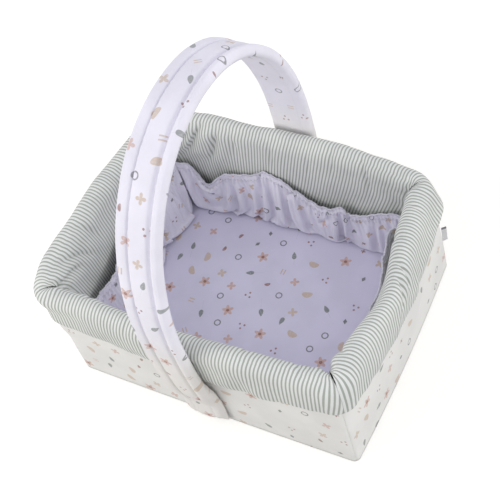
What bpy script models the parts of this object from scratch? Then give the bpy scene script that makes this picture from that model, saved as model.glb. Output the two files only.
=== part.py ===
"""Baby toiletry basket: a board box dressed in printed fabric, with a padded striped cuff over its
rim, a gathered lining, a base pad and a padded hoop handle that turns on two rivets at its feet.

Metres, +Z up. The origin is on the table, under the middle of the box. X runs along the box and Y
across it, and the front is at -Y. Each layer of a wall is placed by its offset from the face of the
outer cover, which is positive outwards.
"""

import math

import bmesh
import bpy
from mathutils import Matrix, Vector

# Driving sizes of the box
BOX_LENGTH = 0.368
BOX_DEPTH = 0.281
RIM_HEIGHT = 0.168
FOOT_CORNER_RADIUS = 0.007
RIM_CORNER_RADIUS = 0.016
LEAST_RADIUS = 0.006

# How the walls flare: at the rim the corners are pulled in and the middles bow out
LONG_CORNER_PULL = 0.0084
END_CORNER_PULL = 0.0044
LONG_FOOT_BOW = 0.0012
LONG_RIM_BOW = 0.0131
END_RIM_BOW = 0.0116
END_FOOT_BOW = 0.004
FLARE_POWER = 2.0

# Layers of a wall and of the floor
CLEARANCE = 0.0003
SEAM_GAP = 0.0006
COVER_THICKNESS = 0.0015
BOARD_THICKNESS = 0.003
BASE_COVER_THICKNESS = 0.0012
BOARD_CORNER_GAP = 0.004
COVER_TOP_DROP = 0.001

# Padded cuff, from its ridge down to the outer and the inner hem
CUFF_RIDGE_ABOVE_RIM = 0.009
CUFF_ROLL_RISE = 0.017
CUFF_ROLL_HALF_WIDTH = 0.013
CUFF_ROLL_OFFSET = -0.0047
CUFF_OUTER_DROP = 0.051
CUFF_INNER_DROP_SHARE = 0.644
CUFF_HEM_SAG = 0.020
CUFF_HEM_THIN_SHARE = 0.30
CUFF_OUTER_HEM_OFFSET = 0.0092
CUFF_INNER_HEM_OFFSET = -0.0140
CUFF_HEM_RADIUS = 0.004
CUFF_FABRIC = 0.0012
CUFF_FILL_CLEARANCE = 0.0007

# Gathered lining and its elastic
LINING_THICKNESS = 0.0014
LINING_TOP_BELOW_RIM = 0.058
LINING_TOP_OFFSET = -0.0205
LINING_FOOT_OFFSET = -0.0330
LINING_EDGE_WAVE = 0.005
LINING_TOP_FOLD = 0.0024
LINING_FOOT_FOLD = 0.0032
LINING_BELLY = 0.005
LINING_ROW_SHARES = (0.0, 0.22, 0.45, 0.68, 0.88, 1.0)
EDGE_WAVES_PER_HALF_RUN = 0.75
GATHER_PITCH = 0.043
ELASTIC_WIDTH = 0.006
ELASTIC_THICKNESS = 0.0008
ELASTIC_BELOW_EDGE = 0.008

# Base pad
PAD_END_GAP = 0.009
PAD_LONG_SIDE_GAP = 0.0097
PAD_THICKNESS = 0.0155
PAD_CORNER_RADIUS = 0.020
PAD_SIDE_DRAW = 0.004
PAD_INSET_SHARES = (0.7, 0.12, 0.0, 0.22, 0.8, 2.4, 5.2)
PAD_HEIGHT_SHARES = (0.0, 0.16, 0.45, 0.74, 0.92, 0.98, 1.0)

# Hoop handle, measured on the middle plane of its core strip
PIVOT_HEIGHT = 0.040
FOOT_FLOOR_CLEARANCE = 0.0030
FOOT_TUCK = 0.0020
FOOT_FLAT_SHARE = 0.35
CORE_END_INSET = 0.016
SLEEVE_HALF_WIDTH = 0.026
CORE_HALF_WIDTH = 0.020
CORE_THICKNESS = 0.003
WADDING_HALF_WIDTH = 0.0195
WADDING_THICKNESS = 0.0025
SLEEVE_INNER_LAYER = 0.0015
SLEEVE_OUTER_LAYER = 0.0016
CHANNEL_SWELL = 0.0022
OUTER_BAND_WIDTH = 0.0150
INNER_BAND_WIDTH = 0.0122
SLEEVE_INNER_FACE_SHARE = 0.95
SLEEVE_SHOULDER_SHARE = 0.97
SLEEVE_SHOULDER_LIFT_SHARE = 0.75
CHANNEL_QUARTER_SHARE = 0.25
CHANNEL_QUARTER_LIFT_SHARE = 0.75
HOOP_OUTREACH = 0.0111
HOOP_SPRING_HEIGHT = 0.190
HOOP_TOP_HEIGHT = 0.4066
HOOP_POWER = 2.1
LEG_BEND_POWER = 3.2
FLARE_START_HEIGHT = 0.050
PADDING_START_HEIGHT = 0.060
PADDING_FULL_HEIGHT = 0.088

# Rivets and washers of the handle's pivot
RIVET_SHANK_RADIUS = 0.0025
RIVET_HEAD_RADIUS = 0.006
RIVET_HEAD_HEIGHT = 0.0018
RIVET_TAIL_RADIUS = 0.005
RIVET_TAIL_HEIGHT = 0.0015
RIVET_DOME_HEIGHT_SHARE = 1 / 3
RIVET_DOME_RADIUS_SHARE = 0.6
RIVET_DOME_DROP_SHARE = 0.5
RIVET_TAIL_TAPER_SHARE = 0.8
WASHER_RADIUS = 0.0075
BACKING_WASHER_THICKNESS = 0.001
SPACER_STAND_OFF = 0.0029
BORE_CLEARANCE = 0.0004
CUTTER_OVERRUN = 0.002

# Side label, sewn into the back right corner seam
LABEL_HEIGHT = 0.026
LABEL_REACH = 0.007
LABEL_THICKNESS = 0.0008
LABEL_FOOT_HEIGHT = 0.048

# How the meshes are built
SMOOTH_ANGLE_DEGREES = 40
MERGE_DISTANCE = 0.00001

# Counts of faces
CORNER_STEPS = 2
RUN_STEPS = 8
PAD_RUN_STEPS = 6
ELASTIC_RUN_STEPS = 12
STATIONS_PER_GATHER = 5
WALL_ROWS = 5
ROLL_STEPS = 8
LEG_STEPS = 8
ARCH_STEPS = 10
FOOT_STEPS = 4
TURN_STEPS = 12
LONGEST_CUFF_STEP = 0.020

# Places that follow from the sizes above
CUFF_RIDGE_HEIGHT = RIM_HEIGHT + CUFF_RIDGE_ABOVE_RIM
LINING_TOP_HEIGHT = RIM_HEIGHT - LINING_TOP_BELOW_RIM
PAD_HALF_LENGTH = BOX_LENGTH / 2 - PAD_END_GAP
PAD_HALF_DEPTH = BOX_DEPTH / 2 - PAD_LONG_SIDE_GAP
BOARD_OUTER_OFFSET = -(COVER_THICKNESS + CLEARANCE)
BOARD_INNER_OFFSET = BOARD_OUTER_OFFSET - BOARD_THICKNESS
BASE_BOARD_FOOT = BASE_COVER_THICKNESS + CLEARANCE
BASE_BOARD_TOP = BASE_BOARD_FOOT + BOARD_THICKNESS
WALL_FOOT = BASE_BOARD_TOP + CLEARANCE
PAD_FOOT = BASE_BOARD_TOP + CLEARANCE
PAD_TOP = PAD_FOOT + PAD_THICKNESS
CUFF_EQUATOR = CUFF_RIDGE_HEIGHT - CUFF_ROLL_RISE
SLEEVE_FACE = CORE_THICKNESS / 2 + CLEARANCE + SLEEVE_INNER_LAYER
FOOT_PLANE = BOX_DEPTH / 2 + LONG_FOOT_BOW + SPACER_STAND_OFF + CLEARANCE + SLEEVE_FACE
HOOP_HALF_SPAN = FOOT_PLANE + HOOP_OUTREACH
FOOT_RADIUS = PIVOT_HEIGHT - FOOT_FLOOR_CLEARANCE
CORE_END_HEIGHT = FOOT_FLOOR_CLEARANCE + CORE_END_INSET

SIDES = ("front", "right", "back", "left")
LONG_SIDES = ("front", "back")


def clear_scene():
    for obj in list(bpy.data.objects):
        bpy.data.objects.remove(obj, do_unlink=True)


def collection(name):
    made = bpy.data.collections.new(name)
    bpy.context.scene.collection.children.link(made)
    return made


def finish(name, colour, roughness, metallic=0.0):
    """A plain Principled material in the real piece's colour."""
    material = bpy.data.materials.new(name)
    material.use_nodes = True
    shader = material.node_tree.nodes["Principled BSDF"]
    shader.inputs["Base Color"].default_value = (*colour, 1.0)
    shader.inputs["Roughness"].default_value = roughness
    shader.inputs["Metallic"].default_value = metallic
    return material


def add_object(name, mesh, material, parent=None):
    obj = bpy.data.objects.new(name, mesh)
    mesh.materials.append(material)
    parts.objects.link(obj)
    if parent:
        mesh.transform(Matrix.Translation(-parent.location))
        obj.parent = parent
    return obj


def smooth(mesh):
    mesh.shade_smooth()
    mesh.set_sharp_from_angle(angle=math.radians(SMOOTH_ANGLE_DEGREES))


def loft(name, rings, material, parent=None):
    """A solid through closed rings of points, with a flat cap on each end."""
    shape = bmesh.new()
    verts = [[shape.verts.new(point) for point in ring] for ring in rings]
    for near, far in zip(verts, verts[1:]):
        for i, vert in enumerate(near):
            shape.faces.new((vert, near[i - 1], far[i - 1], far[i]))
    shape.faces.new(verts[0])
    shape.faces.new(reversed(verts[-1]))
    bmesh.ops.recalc_face_normals(shape, faces=shape.faces)
    mesh = bpy.data.meshes.new(name)
    shape.to_mesh(mesh)
    shape.free()
    smooth(mesh)
    return add_object(name, mesh, material, parent)


def hoop_band(name, rings, material):
    """A closed band through closed rings: the last ring joins the first one."""
    shape = bmesh.new()
    verts = [[shape.verts.new(point) for point in ring] for ring in rings]
    for near, far in zip(verts, verts[1:] + verts[:1]):
        for i, vert in enumerate(near):
            shape.faces.new((vert, near[i - 1], far[i - 1], far[i]))
    bmesh.ops.recalc_face_normals(shape, faces=shape.faces)
    mesh = bpy.data.meshes.new(name)
    shape.to_mesh(mesh)
    shape.free()
    smooth(mesh)
    return add_object(name, mesh, material)


def sheet(name, rows, thickness, material):
    """A sheet through rows of points from its foot to its top, thickened inwards."""
    shape = bmesh.new()
    verts = [[shape.verts.new(point) for point in row] for row in rows]
    for low, high in zip(verts, verts[1:]):
        for i in range(len(low) - 1):
            shape.faces.new((low[i], low[i + 1], high[i + 1], high[i]))
    mesh = bpy.data.meshes.new(name)
    shape.to_mesh(mesh)
    shape.free()
    smooth(mesh)
    obj = add_object(name, mesh, material)
    solidify = obj.modifiers.new("thickness", "SOLIDIFY")
    solidify.thickness = thickness
    solidify.offset = -1.0
    solidify.use_even_offset = True
    return obj


def turned(name, profile, material):
    """A turned piece from (radius, height) points that run down its outer side."""
    mesh = bpy.data.meshes.new(name)
    count = len(profile)
    points = [(radius, 0.0, height) for radius, height in profile]
    closed_loop = all(radius > 0 for radius, _ in profile)
    last = count if closed_loop else count - 1
    mesh.from_pydata(points, [(i, (i + 1) % count) for i in range(last)], [])
    obj = add_object(name, mesh, material)
    screw = obj.modifiers.new("turn", "SCREW")
    screw.axis = "Z"
    screw.steps = TURN_STEPS
    screw.render_steps = TURN_STEPS
    screw.use_merge_vertices = True
    screw.merge_threshold = MERGE_DISTANCE
    screw.use_smooth_shade = True
    return obj


def cutting_cylinder(name, radius, centre, depth):
    """A cylinder along Y that cuts a hole."""
    bpy.ops.mesh.primitive_cylinder_add(
        vertices=TURN_STEPS, radius=radius, depth=depth, location=centre, rotation=(math.pi / 2, 0, 0)
    )
    cutter = bpy.context.object
    cutter.name = name
    for owner in list(cutter.users_collection):
        owner.objects.unlink(cutter)
    cutters.objects.link(cutter)
    cutter.hide_render = True
    cutter.display_type = "WIRE"
    return cutter


def cut(obj, cutter):
    boolean = obj.modifiers.new("cut by " + cutter.name, "BOOLEAN")
    boolean.operation = "DIFFERENCE"
    boolean.solver = "EXACT"
    boolean.object = cutter


def flare(height):
    """How far the wall has taken its rim shape, from 0 at the table to 1 at the rim."""
    return (height / RIM_HEIGHT) ** FLARE_POWER


def wall_sizes(side, height):
    """Half run, half distance and the bows of a side and of its neighbours at a height."""
    share = flare(height)
    half_length = BOX_LENGTH / 2 - END_CORNER_PULL * share
    half_depth = BOX_DEPTH / 2 - LONG_CORNER_PULL * share
    long_bow = LONG_FOOT_BOW + (LONG_RIM_BOW - LONG_FOOT_BOW) * share
    end_bow = END_FOOT_BOW + (END_RIM_BOW - END_FOOT_BOW) * share
    if side in LONG_SIDES:
        return half_length, half_depth, long_bow, end_bow
    return half_depth, half_length, end_bow, long_bow


def turn_to_side(side, along, out):
    """The plan point of a side that is drawn with its run along X and its outside at -Y."""
    quarter = SIDES.index(side)
    x, y = along, -out
    for _ in range(quarter):
        x, y = -y, x
    return x, y


def plan_point(sizes, radius, side, station, offset):
    """A plan point of a rounded, bowed rectangle. A station is (turn, share): the corner angle and
    the share of the straight run, each from -1 to 1 of its range."""
    half_run, half_out, bow, next_bow = sizes
    turn, share = station
    half_run += offset
    half_out += offset
    corner = max(radius + offset, LEAST_RADIUS)
    angle = turn * math.pi / 4
    along = share * (half_run - corner) + corner * math.sin(angle)
    out = half_out - corner + corner * math.cos(angle)
    swell = bow * (1 - (along / half_run) ** 2) * math.cos(angle)
    swell += next_bow * (1 - (out / half_out) ** 2) * abs(math.sin(angle))
    along += swell * math.sin(angle)
    out += swell * math.cos(angle)
    if abs(turn) == 1:
        along -= turn * math.cos(angle) * SEAM_GAP / 2
        out += turn * math.sin(angle) * SEAM_GAP / 2
    return turn_to_side(side, along, out)


def corner_radius(height):
    """The corners are sharp at the table and rounder at the rim."""
    return FOOT_CORNER_RADIUS + (RIM_CORNER_RADIUS - FOOT_CORNER_RADIUS) * flare(height)


def wall_point(side, station, height, offset):
    sizes = wall_sizes(side, height)
    x, y = plan_point(sizes, corner_radius(height), side, station, offset)
    return Vector((x, y, height))


def stations(run_steps, corner_steps=CORNER_STEPS):
    """Stations of one side from corner seam to corner seam."""
    turns = [(-1 + i / corner_steps, -1.0) for i in range(corner_steps)]
    run = [(0.0, -1 + 2 * i / run_steps) for i in range(run_steps + 1)]
    return turns + run + [(-turn, 1.0) for turn, _ in reversed(turns)]


def whole_plan(sizes_of, radius, run_steps):
    """The closed outline of a floor piece. It leaves out one end of each side, where sides meet."""
    outline = []
    for side in SIDES:
        for station in stations(run_steps)[1:]:
            outline.append(plan_point(sizes_of(side), radius, side, station, 0.0))
    return outline


def offset_path(path, distance):
    """A copy of an open path in (offset, height), moved to its left by a distance."""
    moved = []
    for i, point in enumerate(path):
        before = path[max(i - 1, 0)]
        after = path[min(i + 1, len(path) - 1)]
        ahead = (Vector(after) - Vector(before)).normalized()
        moved.append((point[0] - ahead.y * distance, point[1] + ahead.x * distance))
    return moved


def with_even_steps(path):
    """A path with points put into its long straight stretches, so that they follow the flared wall."""
    fuller = [path[0]]
    for start, end in zip(path, path[1:]):
        length = math.dist(start, end)
        count = math.ceil(length / LONGEST_CUFF_STEP)
        for i in range(1, count + 1):
            fuller.append((
                start[0] + (end[0] - start[0]) * i / count,
                start[1] + (end[1] - start[1]) * i / count,
            ))
    return fuller


def floor_plate(name, offset, foot, thickness, material):
    """A flat floor piece whose edge follows the walls."""
    def sizes_of(side):
        half_run, half_out, bow, next_bow = wall_sizes(side, 0.0)
        return half_run + offset, half_out + offset, bow, next_bow

    outline = whole_plan(sizes_of, FOOT_CORNER_RADIUS + offset, RUN_STEPS)
    rings = [[(x, y, height) for x, y in outline] for height in (foot, foot + thickness)]
    return loft(name, rings, material)


def make_base():
    floor_plate("base_cover", 0.0, 0.0, BASE_COVER_THICKNESS, printed_cotton)
    floor_plate("base_board", BOARD_OUTER_OFFSET, BASE_BOARD_FOOT, BOARD_THICKNESS, fibreboard)


def pad_levels():
    """The pad's rings as (inset, height): a flat foot, a swelling side and a crown."""
    return [
        (inset * PAD_THICKNESS, PAD_FOOT + height * PAD_THICKNESS)
        for inset, height in zip(PAD_INSET_SHARES, PAD_HEIGHT_SHARES)
    ]


def pad_height(inset):
    """The height of the pad's crown at a distance in from its side seam."""
    levels = pad_levels()[PAD_INSET_SHARES.index(0.0):]
    for (near, low), (far, high) in zip(levels, levels[1:]):
        if inset <= far:
            return low + (high - low) * (inset - near) / (far - near)
    return PAD_TOP


def make_base_pad():
    rings = []
    for inset, height in pad_levels():
        def sizes_of(side):
            half = (PAD_HALF_LENGTH - inset, PAD_HALF_DEPTH - inset)
            run, out = half if side in LONG_SIDES else half[::-1]
            return run, out, -PAD_SIDE_DRAW, -PAD_SIDE_DRAW

        outline = whole_plan(sizes_of, PAD_CORNER_RADIUS, PAD_RUN_STEPS)
        rings.append([(x, y, height) for x, y in outline])
    loft("base_pad", rings, quilted_cotton)


def wall_rows(side, run_stations, foot, top, offset):
    heights = [foot + (top - foot) * i / (WALL_ROWS - 1) for i in range(WALL_ROWS)]
    return [[wall_point(side, station, height, offset) for station in run_stations] for height in heights]


def make_wall(side):
    """The stiff board of one side, and the printed cover that is drawn over its outside."""
    half_run = wall_sizes(side, RIM_HEIGHT)[0]
    straight = half_run - RIM_CORNER_RADIUS
    reach_share = (straight - BOARD_CORNER_GAP) / straight
    run = [(0.0, reach_share * (-1 + 2 * i / RUN_STEPS)) for i in range(RUN_STEPS + 1)]
    rows = wall_rows(side, run, WALL_FOOT, RIM_HEIGHT, BOARD_OUTER_OFFSET)
    board = sheet(side + "_wall_board", rows, BOARD_THICKNESS, fibreboard)
    rows = wall_rows(
        side, stations(RUN_STEPS), BASE_COVER_THICKNESS + CLEARANCE, RIM_HEIGHT - COVER_TOP_DROP, 0.0
    )
    cover = sheet(side + "_outer_cover", rows, COVER_THICKNESS, printed_cotton)
    if side in LONG_SIDES:
        sign = -1 if side == "front" else 1
        centre = (0.0, sign * BOX_DEPTH / 2, PIVOT_HEIGHT)
        depth = 2 * (COVER_THICKNESS + BOARD_THICKNESS + CUTTER_OVERRUN)
        bore = RIVET_SHANK_RADIUS + BORE_CLEARANCE
        cut(board, cutting_cylinder(side + "_board_hole", bore, centre, depth))
        eyelet = WASHER_RADIUS + BORE_CLEARANCE
        cut(cover, cutting_cylinder(side + "_cover_hole", eyelet, centre, depth))


def cuff_path():
    """The cuff's outer surface in (offset, height), from its outer hem over the ridge to its inner hem."""
    outer_foot = CUFF_RIDGE_HEIGHT - CUFF_OUTER_DROP
    inner_foot = CUFF_RIDGE_HEIGHT * (1 - CUFF_INNER_DROP_SHARE)
    path = [(SEAM_GAP, outer_foot)]
    for step in (0, 1, 2):
        angle = step * math.pi / 4
        path.append((
            CUFF_OUTER_HEM_OFFSET - CUFF_HEM_RADIUS * (1 - math.sin(angle)),
            outer_foot + CUFF_HEM_RADIUS * (1 - math.cos(angle)),
        ))
    for step in range(ROLL_STEPS + 1):
        angle = math.pi / 2 - math.pi * step / ROLL_STEPS
        path.append((
            CUFF_ROLL_OFFSET + CUFF_ROLL_HALF_WIDTH * math.sin(angle),
            CUFF_EQUATOR + CUFF_ROLL_RISE * math.cos(angle),
        ))
    path.append((CUFF_INNER_HEM_OFFSET, inner_foot + CUFF_HEM_RADIUS))
    path.append((CUFF_INNER_HEM_OFFSET + CUFF_HEM_RADIUS, inner_foot))
    path.append((BOARD_INNER_OFFSET - SEAM_GAP, inner_foot))
    return with_even_steps(path)


def cuff_point(side, station, height, offset):
    """A point of the cuff. Between the corners its outer hem hangs lower and lies closer to the wall."""
    share = 0.0
    if offset > CUFF_ROLL_OFFSET and height < CUFF_EQUATOR:
        down_share = (CUFF_EQUATOR - height) / (CUFF_OUTER_DROP - CUFF_ROLL_RISE)
        share = down_share * (1 - station[1] ** 2)
    offset *= 1 - CUFF_HEM_THIN_SHARE * share
    return wall_point(side, station, height - CUFF_HEM_SAG * share, offset)


def make_cuff(side):
    """The striped cover of one side's cuff, and the wadding between it and the wall."""
    run = stations(RUN_STEPS)
    outside = cuff_path()
    inside = offset_path(outside, CUFF_FABRIC)
    section = outside + inside[::-1]
    rings = [[cuff_point(side, station, height, offset) for offset, height in section] for station in run]
    loft(side + "_cuff_cover", rings, striped_cotton)

    fill = offset_path(outside, CUFF_FABRIC + CUFF_FILL_CLEARANCE)[1:-1]
    over_board = RIM_HEIGHT + CLEARANCE
    inner = BOARD_INNER_OFFSET - CUFF_FILL_CLEARANCE
    outer = CUFF_FILL_CLEARANCE
    fill += with_even_steps([
        (inner, fill[-1][1]), (inner, over_board), (outer, over_board), (outer, fill[0][1])
    ])
    rings = [[cuff_point(side, station, height, offset) for offset, height in fill] for station in run]
    loft(side + "_cuff_wadding", rings, wadding)


def lining_foot():
    """The lining's foot lies on the pad's crown, where the long walls' lining comes down."""
    inset = PAD_HALF_DEPTH - (BOX_DEPTH / 2 + LINING_FOOT_OFFSET)
    return pad_height(inset) + 2 * CLEARANCE


def gather_count(side):
    return round(2 * wall_sizes(side, 0.0)[0] / GATHER_PITCH)


def lining_run(side):
    return stations(gather_count(side) * STATIONS_PER_GATHER)


def lining_point(side, station, share, behind=0.0, below_edge=0.0, gathered=True):
    """A point of the lining's outer face. Its share is 0 at the foot and 1 at the frilled edge. Without
    its gathers it is a plane over their crests."""
    run = station[1]
    calm = math.sqrt(math.cos(run * math.pi / 2)) if abs(run) < 1 else 0.0
    phase = run * math.pi * gather_count(side)
    top_fold = LINING_TOP_FOLD * (math.cos(phase) if gathered else 1.0)
    foot_fold = LINING_FOOT_FOLD * (math.sin(phase / 2) if gathered else 1.0)
    wave = math.cos(2 * math.pi * EDGE_WAVES_PER_HALF_RUN * run + SIDES.index(side))
    edge = LINING_TOP_HEIGHT + LINING_EDGE_WAVE * wave * calm
    foot = lining_foot()
    height = foot + (edge - below_edge - foot) * share
    level = (height - foot) / (edge - foot)
    offset = LINING_FOOT_OFFSET + (LINING_TOP_OFFSET - LINING_FOOT_OFFSET) * level
    offset -= LINING_BELLY * math.sin(level * math.pi) * calm
    offset += (top_fold * level + foot_fold * (1 - level)) * calm
    return wall_point(side, station, height, offset + behind)


def make_lining(side):
    run = lining_run(side)
    rows = [[lining_point(side, station, share) for station in run] for share in LINING_ROW_SHARES]
    sheet(side + "_lining", rows, LINING_THICKNESS, printed_cotton)


def make_elastic():
    """The elastic loop sewn behind the frill, below its edge."""
    rings = []
    for side in SIDES:
        for station in stations(ELASTIC_RUN_STEPS)[1:]:
            ring = []
            for below, behind in (
                (ELASTIC_BELOW_EDGE, CLEARANCE),
                (ELASTIC_BELOW_EDGE, CLEARANCE + ELASTIC_THICKNESS),
                (ELASTIC_BELOW_EDGE + ELASTIC_WIDTH, CLEARANCE + ELASTIC_THICKNESS),
                (ELASTIC_BELOW_EDGE + ELASTIC_WIDTH, CLEARANCE),
            ):
                ring.append(lining_point(side, station, 1.0, behind, below, gathered=False))
            rings.append(ring)
    hoop_band("frill_elastic", rings, elastic)


def foot_closing(height):
    """How far a foot has closed, from 0 at the strip's end to 1 at the sleeve's own end."""
    return min(max((CORE_END_HEIGHT - height) / CORE_END_INSET, 0.0), 1.0)


def hoop_points(half_width, end_radius):
    """The hoop from one foot to the other as (y, z, share of half width), on its core's middle plane.
    Each foot ends in an arc about the pivot, so that it clears the table when the hoop turns."""
    half = []
    for step in range(FOOT_STEPS + 1):
        share = FOOT_FLAT_SHARE + (1 - FOOT_FLAT_SHARE) * step / FOOT_STEPS
        drop = math.sqrt(max(end_radius ** 2 - (share * half_width) ** 2, 0.0))
        height = PIVOT_HEIGHT - drop
        half.append((FOOT_PLANE - FOOT_TUCK * foot_closing(height), height, share))
    if height < CORE_END_HEIGHT:
        half.append((FOOT_PLANE, CORE_END_HEIGHT, 1.0))
    for step in range(LEG_STEPS):
        height = FLARE_START_HEIGHT + (HOOP_SPRING_HEIGHT - FLARE_START_HEIGHT) * step / LEG_STEPS
        share = (height - FLARE_START_HEIGHT) / (HOOP_SPRING_HEIGHT - FLARE_START_HEIGHT)
        reach = 1 - (1 - share) ** LEG_BEND_POWER
        half.append((FOOT_PLANE + (HOOP_HALF_SPAN - FOOT_PLANE) * reach, height, 1.0))
    rise = HOOP_TOP_HEIGHT - HOOP_SPRING_HEIGHT
    for step in range(ARCH_STEPS + 1):
        angle = math.pi / 2 * step / ARCH_STEPS
        y = HOOP_HALF_SPAN * max(math.cos(angle), 0.0) ** (2 / HOOP_POWER)
        z = HOOP_SPRING_HEIGHT + rise * math.sin(angle) ** (2 / HOOP_POWER)
        half.append((y if step < ARCH_STEPS else 0.0, z, 1.0))
    mirrored = [(-y, z, share) for y, z, share in reversed(half[:-1])]
    return half + mirrored


def hoop_frames(half_width, end_radius):
    """Points of the hoop with the direction that is square to it and away from the basket."""
    points = hoop_points(half_width, end_radius)
    frames = []
    for i, (y, z, share) in enumerate(points):
        before = points[max(i - 1, 0)]
        after = points[min(i + 1, len(points) - 1)]
        along = Vector((0.0, after[0] - before[0], after[1] - before[1])).normalized()
        frames.append((Vector((0.0, y, z)), Vector((0.0, along.z, -along.y)), share))
    return frames


def padding_share(height):
    share = (height - PADDING_START_HEIGHT) / (PADDING_FULL_HEIGHT - PADDING_START_HEIGHT)
    return min(max(share, 0.0), 1.0)


def hoop_ring(frame, section, half_width):
    """One ring of a hoop piece. A section is (place across, height off the core's middle plane)."""
    centre, out, share = frame
    narrow = Vector((half_width * share, 0.0, 0.0))
    return [centre + narrow * across + out * lift for across, lift in section]


def sleeve_section(height):
    """The sleeve's outline: a flat inner face, rounded edges and three channels on its outer face. At the
    end of a foot its two layers lie sewn on each other."""
    padding = padding_share(height)
    flat = CORE_THICKNESS / 2 + CLEARANCE + RIVET_HEAD_HEIGHT + CLEARANCE + SLEEVE_OUTER_LAYER
    padded = CORE_THICKNESS / 2 + 2 * CLEARANCE + WADDING_THICKNESS + SLEEVE_OUTER_LAYER
    closing = foot_closing(height)
    closed = SLEEVE_OUTER_LAYER + SLEEVE_INNER_LAYER - SLEEVE_FACE
    groove = flat + (padded - flat) * padding + (closed - flat) * closing
    edge = (closed - SLEEVE_FACE) / 2 * closing
    crest = groove + CHANNEL_SWELL * padding
    seam_left = -1 + OUTER_BAND_WIDTH / SLEEVE_HALF_WIDTH
    seam_right = 1 - INNER_BAND_WIDTH / SLEEVE_HALF_WIDTH
    shoulder = groove * SLEEVE_SHOULDER_LIFT_SHARE
    flank = groove + (crest - groove) * CHANNEL_QUARTER_LIFT_SHARE
    quarter = (seam_right - seam_left) * CHANNEL_QUARTER_SHARE
    return [
        (-SLEEVE_INNER_FACE_SHARE, -SLEEVE_FACE),
        (-1.0, edge),
        (-SLEEVE_SHOULDER_SHARE, shoulder),
        ((seam_left - 1) / 2, crest),
        (seam_left, groove),
        (seam_left + quarter, flank),
        ((seam_left + seam_right) / 2, crest),
        (seam_right - quarter, flank),
        (seam_right, groove),
        ((seam_right + 1) / 2, crest),
        (SLEEVE_SHOULDER_SHARE, shoulder),
        (1.0, edge),
        (SLEEVE_INNER_FACE_SHARE, -SLEEVE_FACE),
    ]


def make_handle():
    pivot = bpy.data.objects.new("handle_pivot", None)
    pivot.location = (0.0, 0.0, PIVOT_HEIGHT)
    parts.objects.link(pivot)

    half_core = CORE_THICKNESS / 2
    strip = [(-1.0, -half_core), (-1.0, half_core), (1.0, half_core), (1.0, -half_core)]
    core_frames = hoop_frames(CORE_HALF_WIDTH, FOOT_RADIUS - CORE_END_INSET)
    rings = [hoop_ring(frame, strip, CORE_HALF_WIDTH) for frame in core_frames]
    core = loft("handle_core", rings, plastic, pivot)

    low = half_core + CLEARANCE
    high = low + WADDING_THICKNESS
    fill = [(-1.0, low), (-1.0, high), (1.0, high), (1.0, low)]
    padded = [frame for frame in core_frames if frame[0].z > PADDING_FULL_HEIGHT]
    rings = [hoop_ring(frame, fill, WADDING_HALF_WIDTH) for frame in padded]
    loft("handle_wadding", rings, wadding, pivot)

    frames = hoop_frames(SLEEVE_HALF_WIDTH, FOOT_RADIUS)
    rings = [hoop_ring(frame, sleeve_section(frame[0].z), SLEEVE_HALF_WIDTH) for frame in frames]
    sleeve = loft("handle_sleeve", rings, quilted_cotton, pivot)

    pocket_half = CORE_HALF_WIDTH + CLEARANCE
    pocket_low = -half_core - CLEARANCE
    rings = []
    for frame in hoop_frames(pocket_half, FOOT_RADIUS - CORE_END_INSET + CLEARANCE):
        flat_high = half_core + 2 * CLEARANCE + RIVET_HEAD_HEIGHT
        padded_high = high + CLEARANCE
        pocket_high = flat_high + (padded_high - flat_high) * padding_share(frame[0].z)
        hollow = [(-1.0, pocket_low), (-1.0, pocket_high), (1.0, pocket_high), (1.0, pocket_low)]
        rings.append(hoop_ring(frame, hollow, pocket_half))
    pocket = loft("sleeve_pocket", rings, plastic, pivot)
    parts.objects.unlink(pocket)
    cutters.objects.link(pocket)
    pocket.hide_render = True
    pocket.display_type = "WIRE"
    cut(sleeve, pocket)

    for side, sign in (("front", -1), ("back", 1)):
        bore = RIVET_SHANK_RADIUS + BORE_CLEARANCE
        centre = (0.0, sign * FOOT_PLANE, PIVOT_HEIGHT)
        cut(core, cutting_cylinder(side + "_core_hole", bore, centre, CORE_THICKNESS + CUTTER_OVERRUN))
        inner_layer = (0.0, sign * (FOOT_PLANE - SLEEVE_FACE), PIVOT_HEIGHT)
        depth = 2 * (SLEEVE_INNER_LAYER + CLEARANCE)
        cut(sleeve, cutting_cylinder(side + "_sleeve_hole", 2 * bore, inner_layer, depth))


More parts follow.
